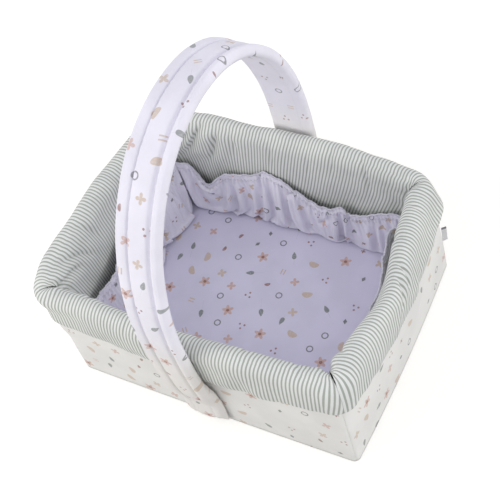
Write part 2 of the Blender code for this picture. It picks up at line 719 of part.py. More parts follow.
def make_pivot(side):
    """The rivet of one foot, its backing washer inside the board and its spacer washer outside."""
    sign = -1 if side == "front" else 1
    board_inner = wall_point("back", (0.0, 0.0), PIVOT_HEIGHT, BOARD_INNER_OFFSET).y - CLEARANCE
    board_outer = wall_point("back", (0.0, 0.0), PIVOT_HEIGHT, BOARD_OUTER_OFFSET).y + 2 * CLEARANCE
    washer_inner = board_inner - BACKING_WASHER_THICKNESS
    tail_outer = washer_inner - CLEARANCE
    tail_inner = tail_outer - RIVET_TAIL_HEIGHT
    head_inner = FOOT_PLANE + CORE_THICKNESS / 2 + CLEARANCE
    head_outer = head_inner + RIVET_HEAD_HEIGHT
    dome = RIVET_HEAD_HEIGHT * RIVET_DOME_HEIGHT_SHARE
    spacer_outer = FOOT_PLANE - SLEEVE_FACE - CLEARANCE

    def stand(obj):
        obj.rotation_euler = (-sign * math.pi / 2, 0.0, 0.0)
        obj.location = (0.0, 0.0, PIVOT_HEIGHT)

    stand(turned("pivot_rivet_" + side, [
        (0.0, head_outer),
        (RIVET_HEAD_RADIUS * RIVET_DOME_RADIUS_SHARE, head_outer - dome * RIVET_DOME_DROP_SHARE),
        (RIVET_HEAD_RADIUS, head_inner + dome),
        (RIVET_HEAD_RADIUS, head_inner),
        (RIVET_SHANK_RADIUS, head_inner),
        (RIVET_SHANK_RADIUS, tail_outer),
        (RIVET_TAIL_RADIUS, tail_outer),
        (RIVET_TAIL_RADIUS * RIVET_TAIL_TAPER_SHARE, tail_inner),
        (0.0, tail_inner),
    ], steel))

    bore = RIVET_SHANK_RADIUS + BORE_CLEARANCE
    for name, low, high in (
        ("pivot_backing_washer_", washer_inner, board_inner),
        ("pivot_spacer_washer_", board_outer, spacer_outer),
    ):
        ring = [(WASHER_RADIUS, high), (WASHER_RADIUS, low), (bore, low), (bore, high)]
        stand(turned(name + side, ring, steel if low == washer_inner else plastic))


def make_label():
    """The bare woven side label, which stands out of the back right corner seam."""
    mesh = bpy.data.meshes.new("side_label")
    shape = bmesh.new()
    bmesh.ops.create_cube(shape, size=1.0)
    shape.to_mesh(mesh)
    shape.free()
    mesh.transform(Matrix.Diagonal((LABEL_REACH, LABEL_THICKNESS, LABEL_HEIGHT, 1.0)))
    obj = add_object("side_label", mesh, woven_tape)
    middle = LABEL_FOOT_HEIGHT + LABEL_HEIGHT / 2
    low = wall_point("right", (1.0, 1.0), LABEL_FOOT_HEIGHT, 0.0)
    high = wall_point("right", (1.0, 1.0), LABEL_FOOT_HEIGHT + LABEL_HEIGHT, 0.0)
    corner = low if low.xy.length > high.xy.length else high
    diagonal = math.pi / 4
    away = CLEARANCE + LABEL_REACH / 2
    obj.location = (corner.x + away * math.cos(diagonal), corner.y + away * math.sin(diagonal), middle)
    obj.rotation_euler = (0.0, 0.0, diagonal)


clear_scene()
parts = collection("baby toiletry basket")
cutters = collection("cutters")
printed_cotton = finish("printed cotton", (0.83, 0.82, 0.86), 0.9)
quilted_cotton = finish("quilted printed cotton", (0.80, 0.79, 0.85), 0.9)
striped_cotton = finish("striped cotton", (0.62, 0.66, 0.62), 0.9)
wadding = finish("polyester wadding", (0.88, 0.88, 0.88), 1.0)
fibreboard = finish("fibreboard", (0.36, 0.27, 0.18), 0.85)
plastic = finish("white plastic", (0.75, 0.75, 0.74), 0.45)
elastic = finish("elastic", (0.80, 0.80, 0.80), 0.8)
steel = finish("plated steel", (0.62, 0.62, 0.63), 0.35, 1.0)
woven_tape = finish("woven tape", (0.85, 0.85, 0.85), 0.8)

make_base()
make_base_pad()
for wall_side in SIDES:
    make_wall(wall_side)
    make_cuff(wall_side)
    make_lining(wall_side)
make_elastic()
make_handle()
for pivot_side in LONG_SIDES:
    make_pivot(pivot_side)
make_label()
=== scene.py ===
"""Visual model of the baby toiletry basket: cloth, padding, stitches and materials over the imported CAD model.

Metres, +Z up, in the CAD frame. Sizes in capitals repeat those of the part's source where they have its
names. A side is drawn with its run along X and its outside at -Y, and then turned to its place.
"""

import math

import bpy
import numpy as np
from mathutils import Matrix, Vector


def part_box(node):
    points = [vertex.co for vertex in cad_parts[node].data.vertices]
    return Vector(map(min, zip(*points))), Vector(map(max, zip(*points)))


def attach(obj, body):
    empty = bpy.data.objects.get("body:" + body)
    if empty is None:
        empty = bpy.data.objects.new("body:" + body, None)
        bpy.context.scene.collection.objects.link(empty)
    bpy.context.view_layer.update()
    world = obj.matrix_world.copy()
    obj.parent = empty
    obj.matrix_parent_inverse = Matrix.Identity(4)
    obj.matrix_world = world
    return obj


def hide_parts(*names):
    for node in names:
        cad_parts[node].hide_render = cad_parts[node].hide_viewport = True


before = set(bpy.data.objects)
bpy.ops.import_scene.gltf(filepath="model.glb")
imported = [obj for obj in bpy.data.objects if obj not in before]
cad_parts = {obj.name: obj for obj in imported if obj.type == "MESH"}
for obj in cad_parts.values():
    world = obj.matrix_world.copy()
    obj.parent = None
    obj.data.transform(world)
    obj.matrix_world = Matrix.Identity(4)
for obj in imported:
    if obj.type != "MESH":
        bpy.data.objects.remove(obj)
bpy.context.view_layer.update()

# Box, as in the part's source
BOX_LENGTH = 0.368
BOX_DEPTH = 0.281
RIM_HEIGHT = 0.168
FOOT_CORNER_RADIUS = 0.007
RIM_CORNER_RADIUS = 0.016
LEAST_RADIUS = 0.006
LONG_CORNER_PULL = 0.0084
END_CORNER_PULL = 0.0044
LONG_FOOT_BOW = 0.0012
LONG_RIM_BOW = 0.0131
END_RIM_BOW = 0.0116
END_FOOT_BOW = 0.004
FLARE_POWER = 2.0
CLEARANCE = 0.0003
SEAM_GAP = 0.0006
DRESSED_SEAM_GAP = 0.0001
COVER_THICKNESS = 0.0015
BOARD_THICKNESS = 0.003
BASE_COVER_THICKNESS = 0.0012
BOARD_INNER_OFFSET = -(COVER_THICKNESS + CLEARANCE + BOARD_THICKNESS)

# Cuff
CUFF_RIDGE_HEIGHT = 0.177
CUFF_ROLL_RISE = 0.017
CUFF_ROLL_HALF_WIDTH = 0.013
CUFF_ROLL_OFFSET = -0.0047
CUFF_OUTER_DROP = 0.051
CUFF_INNER_DROP = 0.114
CUFF_HEM_SAG = 0.020
CUFF_HEM_THIN_SHARE = 0.30
CUFF_OUTER_HEM_OFFSET = 0.0092
CUFF_INNER_HEM_OFFSET = -0.0140
CUFF_HEM_RADIUS = 0.004
CUFF_FABRIC = 0.0012
STRIPE_PITCH = 0.0043

# Lining
LINING_THICKNESS = 0.0010
LINING_TOP_HEIGHT = 0.108
LINING_TOP_OFFSET = -0.0205
LINING_FOOT_OFFSETS = {"front": -0.024, "right": -0.024, "back": -0.0165, "left": -0.0260}
LINING_EXCESS = {"front": 0.06, "right": 0.06, "back": 0.08, "left": 0.35}
LINING_FOOT_HEIGHT = 0.0192
FRILL_HEIGHT = 0.009

# Base pad
PAD_HALF_LENGTH = 0.175
PAD_HALF_DEPTH = 0.1308
PAD_THICKNESS = 0.0155
PAD_CORNER_RADIUS = 0.020
PAD_SIDE_DRAW = 0.004
PAD_FOOT = 0.0048

# Hoop handle
CORE_THICKNESS = 0.003
SLEEVE_HALF_WIDTH = 0.026
SLEEVE_FACE = CORE_THICKNESS / 2 + CLEARANCE + 0.0015
FOOT_PLANE = BOX_DEPTH / 2 + LONG_FOOT_BOW + 0.0029 + CLEARANCE + SLEEVE_FACE
HOOP_HALF_SPAN = FOOT_PLANE + 0.0111
HOOP_SPRING_HEIGHT = 0.190
HOOP_TOP_HEIGHT = 0.4066
HOOP_POWER = 2.1
LEG_BEND_POWER = 3.2
PIVOT_HEIGHT = 0.040
FOOT_RADIUS = PIVOT_HEIGHT - 0.0030
FOOT_TUCK = 0.0020
CORE_END_INSET = 0.016
CORE_END_HEIGHT = 0.019
FLARE_START_HEIGHT = 0.050
PADDING_START_HEIGHT = 0.060
PADDING_FULL_HEIGHT = 0.088
OUTER_BAND_WIDTH = 0.0150
INNER_BAND_WIDTH = 0.0122

MILLIMETRES = 1000.0
SIDES = ("front", "right", "back", "left")
LONG_SIDES = ("front", "back")


def linear(red, green, blue):
    """An sRGB colour, 0 to 255, as Blender's linear one."""
    return tuple(
        (c / 255 / 12.92) if c <= 10 else ((c / 255 + 0.055) / 1.055) ** 2.4 for c in (red, green, blue)
    )


def wander(x, y, seed):
    """Smooth noise from -1 to 1 over arrays, one lattice cell to a unit."""
    table = np.random.default_rng(seed).uniform(-1, 1, (64, 64))
    x, y = np.broadcast_arrays(np.asarray(x, float), np.asarray(y, float))
    i, j = np.floor(x).astype(int), np.floor(y).astype(int)
    p, q = x - i, y - j
    p, q = p ** 3 * (6 * p * p - 15 * p + 10), q ** 3 * (6 * q * q - 15 * q + 10)
    a, b = table[i % 64, j % 64], table[(i + 1) % 64, j % 64]
    c, d = table[i % 64, (j + 1) % 64], table[(i + 1) % 64, (j + 1) % 64]
    return (a * (1 - p) + b * p) * (1 - q) + (c * (1 - p) + d * p) * q


def rise(x, low, high):
    """A smooth step from 0 at low to 1 at high."""
    t = np.clip((np.asarray(x, float) - low) / (high - low), 0, 1)
    return t * t * (3 - 2 * t)


def bell(x, middle, reach):
    """A smooth hump of height 1 at its middle."""
    return np.exp(-(((x - middle) / reach) ** 2))


def ripples(x, y, seed, *layers):
    """Noise in layers. Each has its height, its two lengths and its own seed."""
    total = 0.0
    for height, length_x, length_y, own in layers:
        total = total + height * wander(x / length_x, y / length_y, seed + own)
    return total


def unit(vectors):
    return vectors / np.linalg.norm(vectors, axis=-1, keepdims=True)


def run_along(points, axis=0):
    """How far along each point lies, on a path or on the rows or columns of a grid."""
    steps = np.linalg.norm(np.diff(points, axis=axis), axis=-1)
    return np.concatenate([np.zeros_like(steps.take([0], axis)), np.cumsum(steps, axis)], axis)


def draw_off(points, middle, reach, way, share):
    """Moves points near a place some way, and those further off less."""
    away = np.linalg.norm(points - np.array(middle), axis=2)
    return points + np.array(way) * (bell(away, 0.0, reach) * share)[..., None]


# Plan of the box, as in the part's source
def wall_sizes(side, height):
    share = (height / RIM_HEIGHT) ** FLARE_POWER
    half_length = BOX_LENGTH / 2 - END_CORNER_PULL * share
    half_depth = BOX_DEPTH / 2 - LONG_CORNER_PULL * share
    long_bow = LONG_FOOT_BOW + (LONG_RIM_BOW - LONG_FOOT_BOW) * share
    end_bow = END_FOOT_BOW + (END_RIM_BOW - END_FOOT_BOW) * share
    if side in LONG_SIDES:
        return half_length, half_depth, long_bow, end_bow
    return half_depth, half_length, end_bow, long_bow


def turn_to_side(side, along, out):
    x, y = along, -out
    for _ in range(SIDES.index(side)):
        x, y = -y, x
    return x, y


def plan_point(sizes, radius, side, station, offset, gap=DRESSED_SEAM_GAP):
    half_run, half_out, bow, next_bow = sizes
    turn, share = station
    half_run += offset
    half_out += offset
    corner = max(radius + offset, LEAST_RADIUS)
    angle = turn * math.pi / 4
    along = share * (half_run - corner) + corner * math.sin(angle)
    out = half_out - corner + corner * math.cos(angle)
    swell = bow * (1 - (along / half_run) ** 2) * math.cos(angle)
    swell += next_bow * (1 - (out / half_out) ** 2) * abs(math.sin(angle))
    along += swell * math.sin(angle)
    out += swell * math.cos(angle)
    if abs(turn) == 1:
        along -= turn * math.cos(angle) * gap / 2
        out += turn * math.sin(angle) * gap / 2
    return turn_to_side(side, along, out)


def corner_radius(height):
    share = (height / RIM_HEIGHT) ** FLARE_POWER
    return FOOT_CORNER_RADIUS + (RIM_CORNER_RADIUS - FOOT_CORNER_RADIUS) * share


def wall_point(side, station, height, offset):
    x, y = plan_point(wall_sizes(side, height), corner_radius(height), side, station, offset)
    return (x, y, height)


def stations(run_steps, corner_steps):
    turns = [(-1 + i / corner_steps, -1.0) for i in range(corner_steps)]
    run = [(0.0, -1 + 2 * i / run_steps) for i in range(run_steps + 1)]
    return turns + run + [(-turn, 1.0) for turn, _ in reversed(turns)]


# Meshes
def add_object(name, data):
    obj = bpy.data.objects.new(name, data)
    bpy.context.scene.collection.objects.link(obj)
    return obj


def new_piece(name, mesh, material, body):
    mesh.materials.append(material)
    obj = add_object(name, mesh)
    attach(obj, body)
    return obj


def grid_mesh(name, points, cloth, wrap=False, caps=False):
    """A mesh through rows of points, with each corner's place on the flat cloth. With wrap the last
    column joins the first, and cloth has one column more."""
    points = np.asarray(points, float)
    cloth = np.asarray(cloth, float)
    rows, columns = points.shape[:2]
    across = columns if wrap else columns - 1
    r, c = np.meshgrid(np.arange(rows - 1), np.arange(across), indexing="ij")
    r, c = r.ravel(), c.ravel()
    after = (c + 1) % columns
    low, high = r * columns, (r + 1) * columns
    faces = np.stack([low + c, low + after, high + after, high + c], 1)
    corners = np.stack([cloth[r, c], cloth[r, c + 1], cloth[r + 1, c + 1], cloth[r + 1, c]], 1)
    faces, corners = faces.tolist(), corners.reshape(-1, 2).tolist()
    if caps:
        faces.append(list(range(columns))[::-1])
        corners += cloth[0, :columns][::-1].tolist()
        faces.append([(rows - 1) * columns + i for i in range(columns)])
        corners += cloth[-1, :columns].tolist()
    mesh = bpy.data.meshes.new(name)
    mesh.from_pydata(points.reshape(-1, 3).tolist(), [], faces)
    attribute = mesh.attributes.new("cloth", "FLOAT_VECTOR", "CORNER")
    attribute.data.foreach_set("vector", np.array([(u, v, 0.0) for u, v in corners]).ravel())
    mesh.shade_smooth()
    return mesh


def normals_of(points):
    """Unit normals of a grid of points, outwards where rows go up and columns go along."""
    down = np.gradient(points, axis=0)
    along = np.gradient(points, axis=1)
    normal = np.cross(along, down)
    return normal / np.maximum(np.linalg.norm(normal, axis=2, keepdims=True), 1e-12)


def thicken(obj, thickness):
    solidify = obj.modifiers.new("thickness", "SOLIDIFY")
    solidify.thickness = thickness
    solidify.offset = -1.0
    return obj


def tube_mesh(name, path, radius, sides=8):
    """A round tube along a path."""
    ahead = np.roll(path, -1, 0) - np.roll(path, 1, 0)
    ahead[0], ahead[-1] = path[1] - path[0], path[-1] - path[-2]
    ahead = unit(ahead)
    first = unit(np.cross(ahead, (0.0, 0.0, 1.0)))
    second = np.cross(ahead, first)
    angles = 2 * math.pi * np.arange(sides) / sides
    rings = path[:, None] + radius * (
        first[:, None] * np.cos(angles)[None, :, None] + second[:, None] * np.sin(angles)[None, :, None]
    )
    cloth = np.stack(np.broadcast_arrays(run_along(path)[:, None], 0.002 * np.arange(sides + 1)[None, :]), 2)
    return grid_mesh(name, rings, cloth, wrap=True, caps=True)


# Length, pitch, radius, slant from the row, and how far each kind of stitch stands off its cloth
EDGE_STITCHES = (0.0024, 0.0012, 0.00026, 1.15, 0.0011)
GATHER_STITCHES = (0.0026, 0.0024, 0.00035, 0.5, 0.0002)
HANDLE_STITCHES = (0.0026, 0.0036, 0.00028, 0.0, 0.0)


def stitch_mesh(name, path, normals, length, pitch, radius, slant, stand):
    """A row of thread stitches along a path: short round capsules that lie on the cloth."""
    run = run_along(path)
    middles = np.arange(pitch, run[-1] - pitch / 2, pitch)

    def at(values, where):
        return np.stack([np.interp(where, run, values[:, k]) for k in range(3)], 1)

    ahead = unit(at(path, middles + length / 2) - at(path, middles - length / 2))
    up = unit(at(normals, middles))
    aside = np.cross(up, ahead)
    lean = slant * np.where(np.arange(len(middles)) % 2, 1.0, -1.0)[:, None]
    ahead, aside = ahead * np.cos(lean) + aside * np.sin(lean), aside * np.cos(lean) - ahead * np.sin(lean)
    centre = at(path, middles) + up * stand
    profile = ((-0.5, 0.15, -0.5), (-0.38, 0.85, 0.0), (0.0, 1.0, 0.3), (0.38, 0.85, 0.0), (0.5, 0.15, -0.5))
    sides = 6
    verts, faces = [], []
    for shift, width, lift in profile:
        for k in range(sides):
            angle = 2 * math.pi * k / sides
            verts.append(
                centre + ahead * shift * length
                + aside * math.cos(angle) * radius * width
                + up * (math.sin(angle) * radius * width + radius * lift)
            )
    verts = np.stack(verts, 1)
    count = len(profile) * sides
    for ring in range(len(profile) - 1):
        for k in range(sides):
            a, b = ring * sides + k, ring * sides + (k + 1) % sides
            faces.append((a, b, b + sides, a + sides))
    caps = [list(range(sides))[::-1], [count - sides + k for k in range(sides)]]
    every = []
    for i in range(len(middles)):
        every += [[i * count + v for v in face] for face in faces + caps]
    mesh = bpy.data.meshes.new(name)
    mesh.from_pydata(verts.reshape(-1, 3).tolist(), [], every)
    mesh.shade_smooth()
    return mesh


# Materials
def connect(tree, value, slot):
    """Gives a node's input a number, a vector, a colour or a link."""
    value = value.socket if isinstance(value, Wire) else value
    if isinstance(value, bpy.types.NodeSocket):
        tree.links.new(value, slot)
    elif slot.type == "RGBA":
        slot.default_value = (*value, 1.0)
    else:
        slot.default_value = value


def add_node(tree, kind, inputs=(), **settings):
    made = tree.nodes.new("ShaderNode" + kind)
    for key, value in settings.items():
        setattr(made, key, value)
    for key, value in dict(inputs).items():
        connect(tree, value, made.inputs[key])
    return made


class Wire:
    """A number in a shader. Sums, products and comparisons of wires make math nodes."""

    def __init__(self, tree, socket):
        self.tree, self.socket = tree, socket

    def node(self, operation, *others):
        made = add_node(self.tree, "Math", enumerate((self, *others)), operation=operation)
        return Wire(self.tree, made.outputs[0])

    def __add__(self, other):
        return self.node("ADD", other)

    def __sub__(self, other):
        return self.node("SUBTRACT", other)

    def __mul__(self, other):
        return self.node("MULTIPLY", other)

    def step(self, low, high):
        """0 below low and 1 above high, or the other way round where high is the lower."""
        made = add_node(self.tree, "MapRange", {
            "Value": self, "From Min": min(low, high), "From Max": max(low, high),
            "To Min": float(low > high), "To Max": float(low < high),
        }, interpolation_type="SMOOTHSTEP")
        return Wire(self.tree, made.outputs["Result"])


class Shader:
    """A Principled material that is put together from a few kinds of node."""

    def __init__(self, name, roughness, sheen=0.0, metallic=0.0, specular=0.25):
        self.material = bpy.data.materials.new(name)
        self.material.use_nodes = True
        self.tree = self.material.node_tree
        self.shader = self.tree.nodes["Principled BSDF"]
        for slot, value in (
            ("Roughness", roughness), ("Metallic", metallic), ("Sheen Weight", sheen),
            ("Sheen Roughness", 0.5), ("Specular IOR Level", specular),
        ):
            self.shader.inputs[slot].default_value = value

    def new(self, kind, inputs=(), **settings):
        return add_node(self.tree, kind, inputs, **settings)

    def cloth(self):
        """The place on the flat cloth, in metres."""
        return self.new("Attribute", attribute_name="cloth").outputs["Vector"]

    def place(self):
        """The place on a CAD node, in metres."""
        return self.new("TexCoord").outputs["Object"]

    def scaled(self, vector, scale, offset=(0.0, 0.0, 0.0), turn=0.0):
        inputs = {"Vector": vector, "Scale": scale, "Location": offset, "Rotation": (0.0, 0.0, turn)}
        return self.new("Mapping", inputs).outputs["Vector"]

    def noise(self, vector, scale, detail=2.0, rough=0.5):
        inputs = {"Vector": vector, "Scale": scale, "Detail": detail, "Roughness": rough}
        return Wire(self.tree, self.new("TexNoise", inputs).outputs["Fac"])

    def split(self, vector):
        made = self.new("SeparateXYZ", {0: vector})
        return [Wire(self.tree, made.outputs[k]) for k in range(3)]

    def mix(self, factor, a, b):
        """Colour a where the factor is 0, and b where it is 1."""
        return self.new("Mix", {0: factor, 6: a, 7: b}, data_type="RGBA").outputs[2]

    def bump(self, height, distance, strength=1.0, after=None):
        inputs = {"Height": height, "Distance": distance, "Strength": strength}
        if after:
            inputs["Normal"] = after
        return self.new("Bump", inputs).outputs["Normal"]

    def finish(self, colour, normal, roughness=None):
        for slot, value in (("Base Color", colour), ("Normal", normal), ("Roughness", roughness)):
            if value is not None:
                connect(self.tree, value, self.shader.inputs[slot])
        return self.material


def weave_normal(shader, vector, thread):
    """A plain weave: threads over and under each other, with slubs of uneven height."""
    x, y, _ = shader.split(vector)
    warp = (x * (math.pi / thread)).node("SINE")
    weft = (y * (math.pi / thread)).node("SINE")
    checks = (warp * weft).node("ABSOLUTE")
    slub = shader.noise(shader.scaled(vector, (260, 900, 260)), 1.0, 3.0)
    weave = shader.bump(checks + slub * 1.2, 0.00012, 0.5)
    crumple = shader.noise(vector, 55.0, 3.0, 0.55)
    return shader.bump(crumple, 0.0012, 0.35, after=weave)


# Each motif of the print takes a place in its cell, in metres, and gives how much ink lies there
def blossom(x, y, radius, angle):
    petals = ((angle * 5.0).node("COSINE") * 0.24 + 0.76) * 0.0062
    return (radius - petals).step(0.0003, -0.0003)


def blossom_eye(x, y, radius, angle):
    return radius.step(0.0020, 0.0014)


def four_petals(x, y, radius, angle):
    petals = (angle * 2.0).node("COSINE").node("ABSOLUTE") * 0.0036 + 0.0012
    return (radius - petals).step(0.0003, -0.0003)


def raindrop(x, y, radius, angle):
    share = (y + 0.0045) * (1 / 0.0090)
    width = share * (share * -1.0 + 1.0).node("MAXIMUM", 0.0).node("SQRT") * 0.0060
    return (x.node("ABSOLUTE") - width).step(0.0002, -0.0002) * share.step(0.0, 0.05)


def bean(x, y, radius, angle):
    bent = y + (x * x) * 45.0
    size = (x * x) * 0.34 + (bent * bent)
    return size.step(0.0000115, 0.0000085)


def small_bean(x, y, radius, angle):
    bent = y - (x * x) * 70.0
    size = (x * x) * 0.30 + (bent * bent)
    return size.step(0.0000034, 0.0000022)


def berries(x, y, radius, angle):
    turned = (angle * (3 / (2 * math.pi))).node("FRACT") - 0.5
    across = turned * (2 * math.pi / 3)
    distance = (radius * across.node("COSINE") - 0.0030).node("POWER", 2.0)
    distance = distance + (radius * across.node("SINE")).node("POWER", 2.0)
    return distance.step(0.0000016, 0.0000008)


def open_ring(x, y, radius, angle):
    return (radius - 0.0030).node("ABSOLUTE").step(0.0008, 0.0004)


def small_cross(x, y, radius, angle):
    near = x.node("ABSOLUTE").node("MINIMUM", y.node("ABSOLUTE"))
    return near.step(0.0008, 0.0005) * radius.step(0.0026, 0.0022)


def diamond(x, y, radius, angle):
    return (x.node("ABSOLUTE") * 1.5 + y.node("ABSOLUTE")).step(0.0034, 0.0028)


def two_bars(x, y, radius, angle):
    bar = (x.node("ABSOLUTE") - 0.0016).node("ABSOLUTE").step(0.0008, 0.0005)
    return bar * y.node("ABSOLUTE").step(0.0034, 0.0030)


PRINT_CELL = 0.0275
PRINT_JITTER = 0.40
PRINT_SCALE = 1.22
PRINT_SHIFT = (0.3, 0.6, 0.0)
PRINT_TURN = 0.42
ROSE = linear(208, 174, 162)
RUST = linear(150, 106, 94)
BEIGE = linear(206, 186, 166)
SAGE = linear(126, 132, 128)
SLATE = linear(112, 112, 114)
# The motifs of each kind of cell with their inks. The last kind is bare.
PRINT = (
    ((blossom, ROSE), (blossom_eye, RUST)), ((raindrop, SAGE),), ((bean, BEIGE),), ((berries, RUST),),
    ((four_petals, ROSE),), ((open_ring, SLATE),), ((small_cross, RUST),), ((raindrop, SAGE),),
    ((four_petals, BEIGE),), ((diamond, SLATE),), ((small_bean, RUST),), ((two_bars, BEIGE),), (),
)


def add_print(shader, vector, ground, strength):
    """A sparse print of small generic motifs, one of them at most in each cell of a loose lattice."""
    x, y, _ = shader.split(shader.scaled(vector, (1 / PRINT_CELL,) * 3, PRINT_SHIFT, PRINT_TURN))
    cell = shader.new("CombineXYZ", {0: x.node("FLOOR"), 1: y.node("FLOOR")}).outputs[0]
    chance = shader.new("TexWhiteNoise", {"Vector": cell}, noise_dimensions="3D")
    shift_x, shift_y, spin = shader.split(chance.outputs["Color"])
    x = (x.node("FRACT") - 0.5 - (shift_x - 0.5) * PRINT_JITTER) * PRINT_CELL
    y = (y.node("FRACT") - 0.5 - (shift_y - 0.5) * PRINT_JITTER) * PRINT_CELL
    turned = spin * (2 * math.pi)
    cosine, sine = turned.node("COSINE"), turned.node("SINE")
    local_x = (x * cosine - y * sine) * (1 / PRINT_SCALE)
    local_y = (x * sine + y * cosine) * (1 / PRINT_SCALE)
    radius = (local_x * local_x + local_y * local_y).node("SQRT")
    angle = local_y.node("ARCTAN2", local_x)
    pick = (Wire(shader.tree, chance.outputs["Value"]) * float(len(PRINT))).node("FLOOR")
    worn = shader.noise(vector, 420.0, 2.0).step(0.25, 0.55) * 0.35 + 0.65
    colour = ground
    for number, motifs in enumerate(PRINT):
        chosen = pick.node("COMPARE", float(number), 0.5) * worn
        for motif, ink in motifs:
            mask = motif(local_x, local_y, radius, angle) * chosen * strength
            colour = shader.mix(mask, colour, ink)
    return colour


# How far from the handle's ends its own ground gives way to a darker, warmer one: painted shade and warm light
# low on its legs
PAINTED_END_SHADE_FADE = (0.24, 0.13)
THREAD_PITCH = 0.0006


def printed_cotton(name, ground, strength, length=None, painted_end_shade=None):
    """Printed cloth. With a length its two ends get a darker, warmer ground: painted shade and warm light near
    the handle's feet.
    """
    shader = Shader(name, 0.92, sheen=0.12)
    vector = shader.cloth()
    tone = shader.noise(vector, 18.0, 3.0)
    darker = tuple(c * 0.94 for c in ground)
    base = shader.mix(tone.step(0.35, 0.65), darker, ground)
    if length:
        # The ends' ground is painted shade and warm light, not a cloth of their own
        along = shader.split(vector)[1]
        inner, outer = PAINTED_END_SHADE_FADE
        end = along.step(inner, outer).node("MAXIMUM", along.step(length - inner, length - outer))
        base = shader.mix(end, base, painted_end_shade)
    weave = weave_normal(shader, vector, THREAD_PITCH)
    return shader.finish(add_print(shader, vector, base, strength), weave)


def striped_cotton():
    shader = Shader("striped cotton", 0.93, sheen=0.12)
    vector = shader.cloth()
    x, _, _ = shader.split(vector)
    drift = (shader.noise(vector, 40.0, 1.0) - 0.5) * 0.0004
    phase = ((x + drift) * (1 / STRIPE_PITCH)).node("FRACT") - 0.5
    band = phase.node("ABSOLUTE")
    edge = band + (shader.noise(shader.scaled(vector, (900, 300, 900)), 1.0, 2.0) - 0.5) * 0.05
    line = edge.step(0.25, 0.17)
    tone = shader.noise(vector, 22.0, 3.0).step(0.3, 0.7)
    ground = shader.mix(tone, linear(220, 222, 220), linear(227, 229, 226))
    ink = shader.mix(tone, linear(156, 160, 153), linear(164, 168, 160))
    return shader.finish(shader.mix(line * 0.95, ground, ink), weave_normal(shader, vector, THREAD_PITCH))


def thread(name, colour):
    shader = Shader(name, 0.7, sheen=0.2)
    tone = shader.noise(shader.place(), 900.0, 2.0)
    darker = tuple(c * 0.82 for c in colour)
    return shader.finish(shader.mix(tone.step(0.35, 0.65), darker, colour), shader.bump(tone, 0.0002, 0.6))


def elastic_cloth():
    shader = Shader("elastic", 0.85, sheen=0.1)
    vector = shader.cloth()
    x, y, _ = shader.split(vector)
    ribs = (x * 4200.0).node("SINE").node("ABSOLUTE")
    cross = (y * 2600.0).node("SINE").node("ABSOLUTE")
    # Darker in the grooves between the ribs: painted shade
    colour = shader.mix(ribs, linear(212, 212, 214), linear(238, 238, 240))
    return shader.finish(colour, shader.bump(ribs + cross * 0.5, 0.0004, 0.7))


def woven_label():
    shader = Shader("woven label", 0.75, sheen=0.1)
    vector = shader.cloth()
    x, y, _ = shader.split(vector)
    rows = (y * 5200.0).node("SINE").node("ABSOLUTE")
    across = (x * 5200.0).node("SINE").node("ABSOLUTE")
    band = y.step(0.0225, 0.0228)
    colour = shader.mix(band, linear(232, 232, 234), linear(120, 121, 124))
    colour = shader.mix(rows * 0.18, colour, linear(170, 171, 174))
    return shader.finish(colour, shader.bump(rows + across, 0.0003, 0.6))


def fibreboard():
    shader = Shader("fibreboard", 0.85)
    place = shader.place()
    fibres = shader.noise(shader.scaled(place, (140, 140, 700)), 1.0, 5.0, 0.65)
    flecks = shader.noise(place, 900.0, 2.0).step(0.60, 0.72)
    colour = shader.mix(fibres.step(0.3, 0.7), linear(198, 194, 188), linear(216, 213, 208))
    colour = shader.mix(flecks * 0.5, colour, linear(170, 164, 156))
    return shader.finish(colour, shader.bump(fibres, 0.0006, 0.5))


def plastic():
    shader = Shader("white plastic", 0.42)
    grain = shader.noise(shader.place(), 1400.0, 3.0)
    scuffs = shader.noise(shader.scaled(shader.place(), (40, 400, 40)), 1.0, 4.0).step(0.62, 0.75)
    colour = shader.mix(scuffs * 0.4, linear(224, 224, 222), linear(198, 198, 196))
    return shader.finish(colour, shader.bump(grain, 0.0001, 0.4), scuffs * 0.15 + 0.40)


def steel():
    shader = Shader("plated steel", 0.3, metallic=1.0, specular=0.5)
    brushed = shader.noise(shader.scaled(shader.place(), (2200, 300, 2200)), 1.0, 4.0)
    colour = shader.mix(brushed, linear(188, 190, 193), linear(214, 216, 218))
    return shader.finish(colour, shader.bump(brushed, 0.00008, 0.5), brushed * 0.2 + 0.22)


# One cloth in three grounds: the outside's is warmer, painted warm light from the front; the lining's is bluer,
# painted bluish shade inside the box; the pad's is bluer and darker, painted shade.
cover_cotton = printed_cotton("printed cotton, outside", linear(236, 235, 232), 0.75)
lining_cotton = printed_cotton("printed cotton, lining", linear(236, 233, 245), 0.9)
pad_cotton = printed_cotton("printed cotton, base pad", linear(223, 220, 240), 0.9)
stripes = striped_cotton()
lavender_thread = thread("overlock thread", linear(224, 221, 234))
white_thread = thread("white thread", linear(238, 237, 243))


# Outer cover
# Where the cover bulges at the front left corner: the middle of the place, its reach, and the way
COVER_BULGE = ((-0.184, -0.142, 0.114), 0.040, (-0.0030, -0.0048, 0.0))
# Height, two lengths and seed of the cover's soft waves
COVER_RIPPLES = ((0.00022, 0.062, 0.045, 0), (0.00010, 0.024, 0.055, 9))
# How far apart the panels lie on the printed cloth, and where the bottom panel lies on it
COVER_PRINT_STEP = 0.61
LINING_PRINT_STEP = 0.53
BASE_PRINT_PLACE = (2.9, 0.4)


